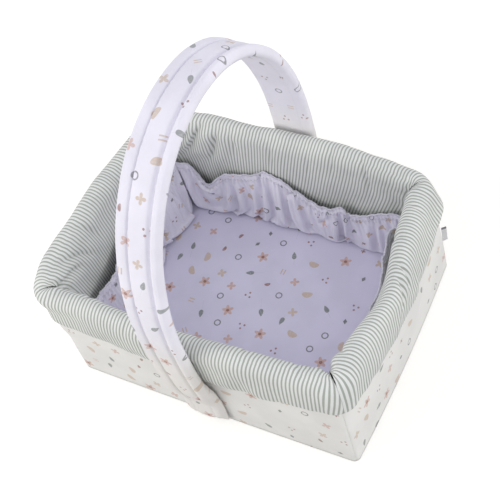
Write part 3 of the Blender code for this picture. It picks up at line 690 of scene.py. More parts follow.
def make_outer_cover(side):
    """One printed panel, drawn tight over its board, with a seam at each upright corner."""
    run = stations(96, 8)
    foot, top = BASE_COVER_THICKNESS + CLEARANCE, RIM_HEIGHT - 0.001
    heights = np.linspace(foot, top, 48)
    points = np.array([[wall_point(side, station, height, 0.0) for station in run] for height in heights])
    u = run_along(points, 1)
    from_seam = np.minimum(u, u[:, -1:] - u)
    u -= u[:, -1:] / 2
    v = np.repeat(heights[:, None], len(run), 1)
    seed = 100 + SIDES.index(side)
    free = rise(from_seam, 0.0, 0.012) * rise(v, foot, foot + 0.008)
    soft = ripples(u, v, seed, *COVER_RIPPLES)
    strain = wander(u / 0.011 + v * 20, v / 0.09, seed + 20) * 0.00016 * rise(from_seam, 0.030, 0.004)
    pucker = ripples(u, v, seed, (0.00014, 0.006, 0.03, 30)) * rise(v, 0.022, 0.004)
    seam = -0.0004 * bell(from_seam, 0.0, 0.0014)
    shift = np.minimum((soft + strain + pucker) * free, 0.00025) + seam
    near_hoop = rise(np.abs(u), 0.045, 0.030) if side in LONG_SIDES else 0.0
    shift = shift * (1 - 0.8 * near_hoop)
    points = points + normals_of(points) * shift[..., None]
    points = draw_off(points, *COVER_BULGE, rise(points[..., 2], 0.060, 0.100))
    name = side + "_cover"
    mesh = grid_mesh(name, points, np.stack([u + COVER_PRINT_STEP * SIDES.index(side), v], 2))
    obj = new_piece(name, mesh, cover_cotton, "basket")
    thicken(obj, COVER_THICKNESS - CLEARANCE)
    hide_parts(side + "_outer_cover")


def make_base_cover():
    """The bottom panel, flat on the table, closed as a thin plate of cloth."""
    rings, cloth = [], []
    shares = (0.02, 0.4, 0.75, 0.95, 1.0, 1.0, 0.95, 0.75, 0.4, 0.02)
    for k, share in enumerate(shares):
        ring = []
        for side in SIDES:
            for station in stations(24, 6)[1:]:
                x, y = plan_point(wall_sizes(side, 0.0), FOOT_CORNER_RADIUS, side, station, -0.0004)
                ring.append((x * share, y * share, 0.0 if k < 5 else BASE_COVER_THICKNESS))
        rings.append(ring)
        cloth.append([(x + BASE_PRINT_PLACE[0], y + BASE_PRINT_PLACE[1]) for x, y, _ in ring + ring[:1]])
    mesh = grid_mesh("base_cloth", rings, cloth, wrap=True, caps=True)
    mesh.flip_normals()
    obj = new_piece("base_cloth", mesh, cover_cotton, "basket")
    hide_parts("base_cover")


# Cuff
def cuff_section():
    """The cuff's outside in (offset, height), at even steps from its outer hem to its inner hem."""
    outer_foot = CUFF_RIDGE_HEIGHT - CUFF_OUTER_DROP
    inner_foot = CUFF_RIDGE_HEIGHT - CUFF_INNER_DROP
    equator = CUFF_RIDGE_HEIGHT - CUFF_ROLL_RISE
    path = [(SEAM_GAP, outer_foot)]
    for angle in np.linspace(0, math.pi / 2, 8):
        path.append((
            CUFF_OUTER_HEM_OFFSET - CUFF_HEM_RADIUS * (1 - math.sin(angle)),
            outer_foot + CUFF_HEM_RADIUS * (1 - math.cos(angle)),
        ))
    for angle in np.linspace(math.pi / 2, -math.pi / 2, 40):
        path.append((
            CUFF_ROLL_OFFSET + CUFF_ROLL_HALF_WIDTH * math.sin(angle),
            equator + CUFF_ROLL_RISE * math.cos(angle),
        ))
    for angle in np.linspace(0, math.pi / 2, 6):
        path.append((
            CUFF_INNER_HEM_OFFSET + CUFF_HEM_RADIUS * (1 - math.cos(angle)),
            inner_foot + CUFF_HEM_RADIUS * (1 - math.sin(angle)),
        ))
    path.append((BOARD_INNER_OFFSET - SEAM_GAP, inner_foot))
    path = np.array(path)
    run = run_along(path)
    even = np.linspace(0, run[-1], 98)
    path = np.stack([np.interp(even, run, path[:, k]) for k in range(2)], 1)
    for _ in range(3):
        path[1:-1] = (path[:-2] + 2 * path[1:-1] + path[2:]) / 4
    ridge = even[np.argmax(path[:, 1])]
    return path, even - ridge


# Creases in a cuff in millimetres, read off the photograph: place along the side, place round the cuff
# from its ridge inwards, direction in degrees from the run, length, depth, width
CREASES = {
    "front": (
        (-120, 20, 70, 30, 2.2, 4), (-60, -6, 80, 28, 1, 3.5), (78, 14, 62, 36, 1.2, 4),
        (138, 4, 118, 34, 1.6, 4.5), (20, 22, 96, 22, 1.2, 3.5),
    ),
    "right": (
        (14, -16, 72, 34, 3.4, 3.6), (-4, -22, 66, 40, 3, 4), (50, 10, 100, 30, 1.2, 4),
        (-95, 12, 66, 30, 1.6, 4), (92, -6, 74, 26, 1.4, 4),
    ),
    "back": (
        (122, 34, 60, 60, 5.2, 5.2), (98, 44, 68, 56, 4, 4.8), (142, 40, 48, 50, 4, 4.2),
        (-30, 30, 84, 44, 1.4, 4.5), (-105, 26, 98, 52, 2.6, 4.6), (-62, 18, 92, 40, 1.6, 4.5),
        (20, 34, 88, 40, 1.8, 4.5), (70, 30, 100, 40, 1.8, 4.5),
    ),
    "left": (
        (108, 26, 152, 70, 3, 4.2), (70, 34, 134, 60, 2.4, 4.2), (-30, 20, 80, 40, 1.4, 4.5),
        (40, 26, 112, 50, 2, 5), (-90, 20, 64, 40, 2.4, 4.5),
    ),
}
# Where the cuff leans off its wall: the middle of the lean, its reach, how far it goes, and the
# heights between which the lean begins
CUFF_LEANS = (
    ((-0.190, -0.132, 0.162), 0.048, (-0.0045, -0.0095, -0.0035), (0.146, 0.170)),
    ((-0.198, -0.098, 0.162), 0.040, (-0.0085, 0.0, 0.0), (0.130, 0.155)),
    ((-0.200, -0.040, 0.168), 0.085, (-0.0035, 0.0, 0.0015), (0.120, 0.150)),
    ((-0.110, 0.146, 0.172), 0.075, (0.0, 0.0020, 0.0035), (0.120, 0.150)),
    ((0.100, 0.146, 0.172), 0.085, (0.0, 0.0015, 0.0035), (0.120, 0.150)),
    ((0.194, 0.100, 0.165), 0.070, (-0.0050, -0.0010, 0.0), (0.120, 0.150)),
    ((0.178, -0.130, 0.165), 0.052, (0.0042, -0.0032, 0.0), (0.095, 0.130)),
    ((0.166, -0.022, 0.172), 0.034, (0.0070, 0.0, -0.0070), (0.140, 0.165)),
)
# Where the outer hem hangs lower or stands off: the middle of the place, its reach, and the way
HEM_MOVES = (
    ((-0.186, -0.134, 0.126), 0.050, (0.0, 0.0, -0.0080)),
    ((0.192, 0.020, 0.124), 0.110, (0.0030, 0.0, -0.0060)),
    ((0.062, -0.150, 0.110), 0.060, (0.0, 0.0, -0.0055)),
)
# Where the inner hem hangs lower: place along the side, its reach, and the drop
INNER_HEM_DROP = {"back": (0.122, 0.022, 0.014)}
# How far the striped cloth is drawn along at its inner hem: place along the side, and the way
CLOTH_DRAWS = {
    "back": ((-0.160, 0.042), (-0.050, 0.034), (0.030, 0.026), (0.090, 0.012), (0.150, 0.0)),
    "left": ((-0.160, 0.0), (0.0, 0.0), (0.050, -0.010), (0.120, -0.025), (0.150, -0.028)),
}
# The same at its outer hem, and over the top of its roll
OUTER_CLOTH_DRAWS = {"front": ((-0.170, -0.001), (0.0, -0.006), (0.060, -0.009), (0.170, -0.009))}
TOP_CLOTH_DRAWS = {"right": -0.0090}
# The side's end at which a mitre seam stands open, and how far each cuff leaves it
OPEN_MITRE = {"front": 1, "right": -1}
MITRE_GAP = 0.0006
# Height, two lengths and seed of the cuff's soft waves, and of the way that its stripes bend
CUFF_RIPPLES = ((0.0014, 0.058, 0.050, 1), (0.0006, 0.021, 0.060, 2), (0.00026, 0.009, 0.022, 3))
STRIPE_BENDS = ((0.0010, 0.060, 0.045, 11), (0.0003, 0.018, 0.03, 12))
CORNER_ARC = (RIM_CORNER_RADIUS + 0.004) * math.pi / 4


def crease_field(side, u, v):
    """How far the creases of a cuff lift its cloth."""
    u, v = u * MILLIMETRES, v * MILLIMETRES
    field = np.zeros_like(u)
    for along, around, degrees, length, depth, width in CREASES[side]:
        c, s = math.cos(math.radians(degrees)), math.sin(math.radians(degrees))
        p = (u - along) * c + (v - around) * s
        q = (v - around) * c - (u - along) * s + 0.15 * p * p / length
        fade = np.exp(-((p / (length / 2)) ** 4))
        valley = bell(q, 0.0, width * (1 - 0.4 * fade))
        banks = 0.55 * bell(q, 2.1 * width, 1.6 * width) + 0.40 * bell(q, -2.1 * width, 1.6 * width)
        field += fade * depth * (banks - valley)
    return field / MILLIMETRES


def stripe_run(side):
    """Where a side's middle lies on the striped cloth, which goes round from the back left corner."""
    run = 0.0
    for each in ("left", "front", "right", "back"):
        half_run = wall_sizes(each, RIM_HEIGHT)[0]
        length = half_run - RIM_CORNER_RADIUS + CORNER_ARC
        if each == side:
            return run + length
        run += 2 * length


def cuff_point(side, station, height, offset):
    """A point of the cuff. Between the corners its outer hem hangs lower and lies closer to the wall."""
    equator = CUFF_RIDGE_HEIGHT - CUFF_ROLL_RISE
    share = 0.0
    if offset > CUFF_ROLL_OFFSET and height < equator:
        share = (equator - height) / (CUFF_OUTER_DROP - CUFF_ROLL_RISE) * (1 - station[1] ** 2)
    height -= CUFF_HEM_SAG * share
    return wall_point(side, station, height, offset * (1 - CUFF_HEM_THIN_SHARE * share))


def make_cuff(side):
    """One side of the padded cuff, with its sag, creases and the gathers at its mitred ends."""
    run = stations(140 if side in LONG_SIDES else 110, 14)
    path, v_path = cuff_section()
    half_run = wall_sizes(side, RIM_HEIGHT)[0]
    points = np.array([[cuff_point(side, station, h, o) for station in run] for o, h in path])
    arc = run_along(points, 1)
    from_seam = np.minimum(arc, arc[:, -1:] - arc)
    ringed = np.array([[share * (half_run - RIM_CORNER_RADIUS) + CORNER_ARC * turn for turn, share in run]])
    v = run_along(points)
    v -= v[np.argmin(np.abs(v_path))]
    inside = rise(v, -0.004, 0.022)
    u = np.repeat(ringed, len(path), 0) * (1 - inside) + (arc - arc[:, -1:] / 2) * inside
    seed = 10 * SIDES.index(side)

    near_end = rise(np.abs(u), half_run - 0.075, half_run - 0.012)
    inner = rise(v, 0.008, 0.045)
    outer = rise(-v, 0.012, 0.040)
    soft = ripples(u, v, seed, *CUFF_RIPPLES)
    gathers = 0.0026 * (1 - 2 * np.abs(wander(u / 0.016 + v * 9, v / 0.09, seed + 4))) * near_end * inner
    if side == "left":
        gathers = gathers * np.where(u > 0, 0.25, 1.0)
    folds = 0.0009 * (1 - 2 * np.abs(wander(u / 0.026 - v * 6, v / 0.07, seed + 5))) * outer
    hems = 0.0007 * wander(u / 0.012, v * 0, seed + 6) * rise(-v, 0.040, 0.060)
    belly = 0.0014 * outer * rise(points[..., 2], CUFF_RIDGE_HEIGHT - 0.062, CUFF_RIDGE_HEIGHT - 0.045)
    open_seam = rise(v, -0.012, 0.004)
    seam = open_seam * (0.0012 * bell(from_seam, 0.011, 0.006) - 0.0036 * bell(from_seam, 0.0, 0.0040))
    tucks = ripples(u, v, seed, (0.0008, 0.007, 0.05, 7)) * near_end * open_seam * rise(from_seam, 0.0, 0.004)
    shift = soft + gathers + folds + hems + tucks + crease_field(side, u, v)
    shift = shift * (0.15 + 0.85 * np.maximum(rise(from_seam, 0.0, 0.020), open_seam)) + belly + seam
    rows = np.arange(len(path))
    shift *= rise(rows, 0, 4)[:, None] * rise(len(path) - 1 - rows, 0, 14)[:, None]
    if side in LONG_SIDES:
        under_hoop = rise(np.abs(u), 0.075, 0.040) * rise(-v, 0.004, 0.016)
        shift = np.where(under_hoop > 0, np.minimum(shift, 0.0045 - 0.0040 * under_hoop), shift)
    points = points + normals_of(points) * shift[..., None]
    near_corner = rise(np.abs(u), half_run - 0.050, half_run)
    points[..., 2] -= 0.0020 * near_corner * rise(points[..., 2], 0.125, 0.165)
    for middle, reach, way, (low, high) in CUFF_LEANS:
        points = draw_off(points, middle, reach, way, rise(points[..., 2], low, high))
    for middle, reach, way in HEM_MOVES:
        points = draw_off(points, middle, reach, way, rise(-v, 0.012, 0.045))
    if side in INNER_HEM_DROP:
        middle, reach, drop = INNER_HEM_DROP[side]
        points[..., 2] -= drop * bell(u, middle, reach) * rise(v, 0.060, 0.110)
    if side in OPEN_MITRE:
        end = OPEN_MITRE[side]
        tangent = unit(np.gradient(points, axis=1))
        apart = bell(from_seam, 0.0, 0.0022) * rise(v, -0.015, -0.006) * rise(v, 0.026, 0.016)
        apart = apart * (np.sign(u) == end) * (1 + 0.3 * wander(v / 0.004, seed, 9))
        points = points - tangent * (end * MITRE_GAP * apart)[..., None]

    run_place = u + ripples(u, v, seed, *STRIPE_BENDS) * rise(from_seam, 0.0, 0.030) + stripe_run(side)
    for draws, share in (
        (CLOTH_DRAWS, np.clip((v - 0.008) / 0.100, 0, 1.1) ** 1.2),
        (OUTER_CLOTH_DRAWS, np.clip((-v - 0.006) / 0.050, 0, 1.2)),
    ):
        if side in draws:
            run_place = run_place - np.interp(u, *np.array(draws[side]).T) * share
    run_place = run_place - TOP_CLOTH_DRAWS.get(side, 0.0) * rise(v, -0.012, 0.034)
    mesh = grid_mesh(side + "_cuff", points, np.stack([run_place, v], 2))
    obj = thicken(new_piece(side + "_cuff", mesh, stripes, "basket"), CUFF_FABRIC)
    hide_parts(side + "_cuff_cover", side + "_cuff_wadding")


# Base pad
# Half of its section in shares of its thickness: how far in from its side, and how high
PAD_SECTION = (
    (1.6, 0.0), (0.9, 0.02), (0.45, 0.08), (0.2, 0.18), (0.08, 0.30), (0.0, 0.42), (-0.02, 0.46),
    (-0.05, 0.50), (-0.02, 0.54), (0.0, 0.58), (0.10, 0.70), (0.26, 0.79), (0.5, 0.86), (0.85, 0.91),
    (1.3, 0.945), (2.0, 0.965), (3.0, 0.98), (4.4, 0.99), (6.0, 1.0),
)
PAD_RIPPLES = ((0.0007, 0.09, 0.08, 1), (0.0002, 0.028, 0.03, 2))


def make_pad():
    """A crowned cushion: flat below, a seam round its side, sides that draw in between its corners."""
    rings = []
    for inset, level in PAD_SECTION:
        inset *= PAD_THICKNESS
        ring = []
        for side in SIDES:
            half = (PAD_HALF_LENGTH - inset, PAD_HALF_DEPTH - inset)
            run, out = half if side in LONG_SIDES else half[::-1]
            for station in stations(40, 8)[1:]:
                sizes = (run, out, -PAD_SIDE_DRAW, -PAD_SIDE_DRAW)
                x, y = plan_point(sizes, PAD_CORNER_RADIUS, side, station, 0.0, 0.0)
                ring.append((x, y, PAD_FOOT + level * PAD_THICKNESS))
        rings.append(ring)
    for share in (0.75, 0.5, 0.25, 0.03):
        rings.append([(x * share, y * share, z) for x, y, z in rings[len(PAD_SECTION) - 1]])
    points = np.array(rings)
    x, y = points[..., 0], points[..., 1]
    top = rise(points[..., 2], PAD_FOOT + 0.8 * PAD_THICKNESS, PAD_FOOT + PAD_THICKNESS)
    points[..., 2] += top * (ripples(x, y, 200, *PAD_RIPPLES) - 0.0006)
    cloth = np.stack([x, y], 2)
    cloth = np.concatenate([cloth, cloth[:, :1]], 1)
    mesh = grid_mesh("pad", points, cloth, wrap=True, caps=True)
    obj = new_piece("pad", mesh, pad_cotton, "basket")
    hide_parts("base_pad")


# Lining
# The frilled edge of each side in millimetres: place along the side, height, and how far it leans in
# from its wall. The back, left and right ones are read off the photograph where they show.
FRILL_EDGES = {
    "back": (
        (-156, 111, 7), (-143, 115, 2), (-124, 106, 2), (-108, 97, 3), (-92, 88.5, 4), (-77, 83, 4),
        (-65, 96, 3), (-55, 85.5, 5), (-46, 84, 5.5), (-33, 84, 5.5), (-17, 92, 3), (-4, 100, 2),
        (9, 110, 1), (24, 114, 0), (36, 118, 0), (50, 106.5, 1), (68, 103, 1), (88, 101, 2), (99, 93, 4),
        (109, 83, 6), (116, 73, 7), (121, 71, 7), (127, 76, 6), (132, 91, 3), (139, 106, 1), (156, 110, 6),
    ),
    "right": (
        (-112, 109, 7), (-70, 108, 18), (-30, 104, 12), (0, 106, 10), (14, 108, 9), (34, 110, 15),
        (51, 111, 20), (68, 108, 21.5), (84, 110, 27), (97, 112, 27), (104, 112, 18), (112, 109, 7),
    ),
    "left": (
        (-112, 109, 6), (-96, 106, 8), (-70, 100, 10), (-40, 108, 4), (0, 112, 3), (30, 104, 8),
        (54, 100, 15), (66, 101, 16), (78, 101, 12), (90, 99, 7), (112, 109, 6),
    ),
    "front": (
        (-156, 109, 6), (-120, 102, 6), (-80, 112, 2), (-30, 104, 6), (10, 114, 1), (60, 102, 7),
        (110, 112, 2), (156, 109, 7),
    ),
}
LINING_COLUMN = 0.0021
LINING_ROWS = 34
FRILL_ROWS = 5
FRILL_CORNER_LEAN = 0.0065
PAD_TOP = PAD_FOOT + PAD_THICKNESS
SETTLING_STEPS = 170
PULLS_PER_STEP = 7
KEPT_SPEED = 0.96
FALL_PER_STEP = 0.00012
SLANT_STRENGTH = 0.2
BEND_STRENGTH = 0.35
# Stiffness of the lining: up or along, how many cells apart, and the least distance in cells
STIFF_PAIRS = ((1, 2, 1.80), (1, 4, 2.95), (0, 2, 1.85), (0, 4, 3.05))
# Height at which the cuff begins, and how far in the lining stays from there up, and below it
CUFF_INNER_FOOT = 0.072
UNDER_CUFF_OFFSET = -0.0185
UNDER_BOARD_OFFSET = -0.0070
OVERLOCK_RADIUS = 0.00115


def wall_out(side, along, height, offset):
    """How far out a layer of a side's wall stands, over arrays, in the side's own frame."""
    half_run, half_out, bow, _ = wall_sizes(side, height)
    return half_out + offset + bow * (1 - (along / half_run) ** 2)


def pull(a, b, rest, strength=1.0, only_apart=False):
    """Moves pairs of cloth points towards their rest distance, or only apart up to it."""
    gap = b - a
    length = np.sqrt((gap * gap).sum(-1)) + 1e-9
    change = (length - rest) / length * (0.5 * strength)
    if only_apart:
        change = np.minimum(change, 0.0)
    gap *= change[..., None]
    a += gap
    b -= gap


def pull_line(points, rest, axis, stride=1, least=1.0, strength=1.0):
    """Pulls on all pairs of points that lie a stride apart along an axis."""
    points, rest = np.moveaxis(points, axis, 0), np.moveaxis(rest, axis, 0) * least
    for k in range(2 * stride):
        first = slice(k, -stride, 2 * stride)
        pull(points[first], points[k + stride::2 * stride], rest[first], strength, stride > 1)


def settle(points, across, up, held, confine):
    """Lets a grid of cloth fall and crumple. It keeps its rest lengths and makes no fold of fewer than a
    few cells."""
    slant = np.hypot(across, up)
    now, before = points.copy(), points.copy()
    for _ in range(SETTLING_STEPS):
        moved = (now - before) * KEPT_SPEED
        before = now.copy()
        now += moved
        now[..., 2] -= FALL_PER_STEP
        for _ in range(PULLS_PER_STEP):
            pull_line(now, across, 1)
            pull_line(now, up, 0)
            for k in (0, 1):
                low, high = now[k:-1:2], now[k + 1::2]
                pull(low[:, :-1], high[:, 1:], slant[k:-1:2, :-1], SLANT_STRENGTH)
                pull(low[:, 1:], high[:, :-1], slant[k:-1:2, 1:], SLANT_STRENGTH)
            for axis, stride, least in STIFF_PAIRS:
                pull_line(now, (up, across)[axis], axis, stride, least, BEND_STRENGTH)
            confine(now)
            now[held] = points[held]
    return now


# Folds in the lining in millimetres, read off the photograph: two ends of each as place along the side
# and height, how far it fades out to the side's right, and its height, or its depth if it is negative
LINING_FOLDS = {
    "back": (
        (-74, 90, -66, 18, 16, 4.2), (-107, 88, -101, 30, 10, 2.6), (-29, 46, -46, 63, 3, -3),
        (45, 106, 45, 78, 2.6, -3.6), (11, 82, 19, 21, 22, 2.2), (93, 58, 86, 20, 20, 3.6),
        (7, 86, -7, 98, 2.6, -2.6), (-70, 80, -70, 58, 2.2, -2), (128, 62, 104, 44, 5, -2.2),
    ),
    "left": (
        (-83, 90, -95, 18, 30, 6), (-34, 70, -52, 18, 26, 5), (30, 85, 12, 20, 28, 4),
        (86, 96, 94, 50, 14, 4),
    ),
}
FRILL_RUFFLES = {"front": 0.0009, "right": 0.0003, "back": 0.0007, "left": 0.0006}


def fold_field(side, along, height):
    """How far the cloth stands in from its wall at its folds."""
    along, height = along * MILLIMETRES, height * MILLIMETRES
    field = np.zeros_like(along)
    for a0, h0, a1, h1, width, depth in LINING_FOLDS.get(side, ()):
        length = math.hypot(a1 - a0, h1 - h0)
        c, s = (a1 - a0) / length, (h1 - h0) / length
        p = (along - a0) * c + (height - h0) * s - length / 2
        q = ((height - h0) * c - (along - a0) * s) * (1 if s < 0 else -1)
        fade = np.exp(-((p / (0.62 * length)) ** 6))
        ridge = rise(q, -0.8, 1.0) * np.exp(-np.maximum(q, 0) / width)
        field += fade * depth * (ridge if depth > 0 else bell(q, 0.0, width))
    return field / MILLIMETRES


def make_lining(side):
    """One gathered panel from the base up to its elastic, and the frill that stands above it."""
    knots = np.array(FRILL_EDGES[side]) / MILLIMETRES
    seed = 300 + 10 * SIDES.index(side)
    foot_inset, top_inset = LINING_FOOT_OFFSETS[side], LINING_TOP_OFFSET - FRILL_CORNER_LEAN
    top_run = wall_sizes(side, LINING_TOP_HEIGHT)[0] + top_inset
    foot_run = wall_sizes(side, PAD_TOP)[0] + foot_inset
    columns = int(2 * top_run / LINING_COLUMN)
    shares = np.linspace(-1, 1, columns)
    calm = np.sqrt(np.clip(1 - shares ** 6, 0, 1))
    along = shares * top_run

    kernel = np.hanning(9) / np.hanning(9).sum()
    edge, lean = (
        np.convolve(np.pad(np.interp(along, knots[:, 0], knots[:, k]), 4, mode="edge"), kernel, mode="valid")
        for k in (1, 2)
    )
    top_height = edge - FRILL_HEIGHT
    waves = ripples(along, 0.5, seed, (0.0015, 0.020, 1, 0), (0.0007, 0.008, 1, 1))
    top_out = wall_out(side, along, top_height, LINING_TOP_OFFSET) - lean - waves * calm
    foot_along = shares * foot_run
    foot_waves = 0.0022 * wander(foot_along / 0.028, 0.5, seed + 2)
    foot_out = wall_out(side, foot_along, PAD_TOP, foot_inset) + foot_waves * calm
    to_corner = np.abs(shares) ** 10
    top_out += (wall_sizes(side, LINING_TOP_HEIGHT)[1] + top_inset - top_out) * to_corner
    foot_out += (wall_sizes(side, PAD_TOP)[1] + foot_inset - foot_out) * to_corner

    level = np.linspace(0, 1, LINING_ROWS)[:, None]
    points = np.stack([
        foot_along + (along - foot_along) * level,
        foot_out + (top_out - foot_out) * level,
        LINING_FOOT_HEIGHT + (top_height - LINING_FOOT_HEIGHT) * level,
    ], 2)
    straight = np.sqrt(((points[-1] - points[0]) ** 2).sum(-1))
    excess = LINING_EXCESS[side]
    tall = 1.01 * straight + excess * (straight.max() - straight + 0.010)
    if side == "back":
        tall = tall + 0.014 * bell(along, 0.120, 0.018)
    fullness = 1.06 + 0.24 * np.sin(np.clip(level * 1.15, 0, 1) * math.pi) ** 0.7
    cell = np.linalg.norm(np.diff(points, axis=1), axis=2).mean(1)[:, None]
    across = np.repeat(fullness, columns, 1) * cell
    up = np.repeat((tall / (LINING_ROWS - 1))[None], LINING_ROWS, 0)
    slack = np.sin(level * math.pi) ** 0.7
    buckle = 0.0045 * np.sin(2 * math.pi * along / 0.031 + 4 * wander(along / 0.06, level * 1.3, seed + 3))
    buckle = buckle + 0.0030 * wander(along / 0.017, level * 2.2, seed + 4)
    points[..., 1] -= slack * calm * (0.006 + buckle)

    held = np.zeros(points.shape[:2], bool)
    held[0], held[-1], held[:, 0], held[:, -1] = True, True, True, True

    pad_edge = PAD_HALF_DEPTH if side in LONG_SIDES else PAD_HALF_LENGTH

    def confine(now):
        x, out, height = now[..., 0], now[..., 1], now[..., 2]
        behind = np.where(height > CUFF_INNER_FOOT, UNDER_CUFF_OFFSET, UNDER_BOARD_OFFSET)
        np.minimum(out, wall_out(side, x, height, behind), out=out)
        sunk = 0.0022 * rise(out, pad_edge - 0.022, pad_edge - 0.006)
        np.maximum(height, PAD_TOP + 0.0010 - sunk, out=height)
        half_run, half_out, _, _ = wall_sizes(side, height)
        limit = half_run - (half_out - out) - 0.0008
        np.minimum(x, limit, out=x)
        np.maximum(x, -limit, out=x)

    points = settle(points, across, up, held, confine)

    tip = wander(along / 0.045, 0.3, seed + 5)
    ruffle = np.sin(2 * math.pi * along / 0.0135 + 3 * wander(along / 0.04, 0.1, seed + 6))
    rows = [points]
    for k in range(1, FRILL_ROWS + 1):
        share = k / FRILL_ROWS
        row = points[-1].copy()
        row[:, 2] += FRILL_HEIGHT * (1 + 0.10 * tip * calm) * share
        row[:, 1] -= calm * (0.0022 * tip * share + FRILL_RUFFLES[side] * ruffle * share ** 1.3)
        rows.append(row[None])
    points = np.concatenate(rows)
    levels = np.concatenate([np.linspace(0, 1, LINING_ROWS), 1 + np.arange(1, FRILL_ROWS + 1) / FRILL_ROWS])
    finer = smooth_finer(points)
    row_count, column_count = finer.shape[:2]
    fine_levels = np.interp(np.linspace(0, len(levels) - 1, row_count), range(len(levels)), levels)[:, None]
    place = np.linspace(-top_run, top_run, column_count)[None]
    near = bell(fine_levels, 1, 0.13) * (fine_levels <= 1) + (fine_levels > 1) * 0.8
    pitch = 2 * math.pi * place / 0.0048 + 3 * wander(place / 0.02, fine_levels * 0.7, seed + 7)
    near = near + 1.4 * bell(fine_levels, 0.985, 0.05)
    tiny = 0.00060 * near * np.sin(pitch) + 0.0004 * wander(place / 0.009, fine_levels / 0.22, seed + 8)
    tiny = tiny * rise(top_run - np.abs(place), 0.0, 0.010) * rise(fine_levels, 0.02, 0.12)
    finer = finer + normals_of(finer) * tiny[..., None]
    finer[..., 1] -= fold_field(side, finer[..., 0], finer[..., 2]) * rise(fine_levels, 0.0, 0.06)

    world = np.stack([*turn_to_side(side, finer[..., 0], finer[..., 1]), finer[..., 2]], 2)
    facing = -normals_of(world)
    cloth_u = run_along(world, 1)[row_count // 2] + LINING_PRINT_STEP * SIDES.index(side)
    cloth_v = run_along(world)[:, column_count // 2]
    name = side + "_gathered_lining"
    mesh = grid_mesh(name, world, np.stack(np.meshgrid(cloth_u, cloth_v), 2))
    mesh.flip_normals()
    obj = thicken(new_piece(name, mesh, lining_cotton, "basket"), LINING_THICKNESS)
    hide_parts(side + "_lining")

    edge_line = world[-1] - facing[-1] * 0.0004
    seam_row = np.argmin(np.abs(fine_levels[:, 0] - 1.0))
    over, edge, gather = (side + end for end in ("_overlock", "_edge_stitches", "_gather_stitches"))
    trims = (
        (over, tube_mesh(over, edge_line, OVERLOCK_RADIUS)),
        (edge, stitch_mesh(edge, edge_line, facing[-1], *EDGE_STITCHES)),
        (gather, stitch_mesh(gather, world[seam_row], facing[seam_row], *GATHER_STITCHES)),
    )
    sewn = [new_piece(name, shape, lavender_thread, "basket") for name, shape in trims]
    return world[seam_row], facing[seam_row]


def smooth_finer(values):
    """Twice as many rows and columns of values, smoothly between the old ones."""
    for axis in (0, 1):
        values = np.moveaxis(values, axis, 0)
        padded = np.concatenate([2 * values[:1] - values[1:2], values, 2 * values[-1:] - values[-2:-1]])
        middle = (9 * (padded[1:-2] + padded[2:-1]) - padded[:-3] - padded[3:]) / 16
        finer = np.empty((2 * len(values) - 1, *values.shape[1:]))
        finer[0::2], finer[1::2] = values, middle
        values = np.moveaxis(finer, 0, axis)
    return values


def make_elastic(rows):
    """The elastic that draws the frill in, sewn behind its row of stitches."""
    path = np.concatenate([row[2:-2] - facing[2:-2] * 0.0018 for row, facing in rows])
    for _ in range(6):
        path = (np.roll(path, 1, 0) + 2 * path + np.roll(path, -1, 0)) / 4
    ahead = np.roll(path, -1, 0) - np.roll(path, 1, 0)
    out = unit(np.cross(ahead, (0.0, 0.0, 1.0)))
    run = run_along(path)
    ruck = 0.0003 * np.sin(2 * math.pi * run / 0.0035)
    section = ((0.0, -0.003), (0.0008, -0.003), (0.0008, 0.0), (0.0008, 0.003), (0.0, 0.003), (0.0, 0.0))
    rings = [[p + o * (depth + r) + np.array((0, 0, height)) for depth, height in section]
             for p, o, r in zip(path, out, ruck)]
    rings.append(rings[0])
    around = np.array((0.0, 0.001, 0.004, 0.007, 0.008, 0.011, 0.014))
    cloth = np.stack(np.meshgrid(around, np.append(run, run[-1] + 0.002)), 2)[..., ::-1]
    mesh = grid_mesh("elastic_band", rings, cloth, wrap=True)
    obj = new_piece("elastic_band", mesh, elastic_cloth(), "basket")
    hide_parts("frill_elastic")


# Handle
# How far the sleeve's face stands off the strip: unpadded, padded, and where its layers lie closed
SLEEVE_FLAT = 0.0055
SLEEVE_PADDED = 0.0060
SLEEVE_CLOSED = -0.0001
CLOSED_DEPTH = 0.0017
OUTER_EDGE_RADIUS = 0.0045
INNER_EDGE_RADIUS = 0.003
SLEEVE_RIPPLES = ((0.00035, 0.016, 0.030, 1), (0.00016, 0.009, 0.007, 2))
# How far the padded legs swell towards the wall: height, and the swell
SLEEVE_INNER_SWELL = (
    (0.052, 0.0), (0.075, 0.0052), (0.095, 0.0050), (0.110, 0.0018), (0.150, 0.0008), (0.190, 0.0),
)


def foot_closing(height):
    """How far a foot has closed, from 0 at the strip's end to 1 at the sleeve's own end."""
    return np.clip((CORE_END_HEIGHT - height) / CORE_END_INSET, 0, 1)


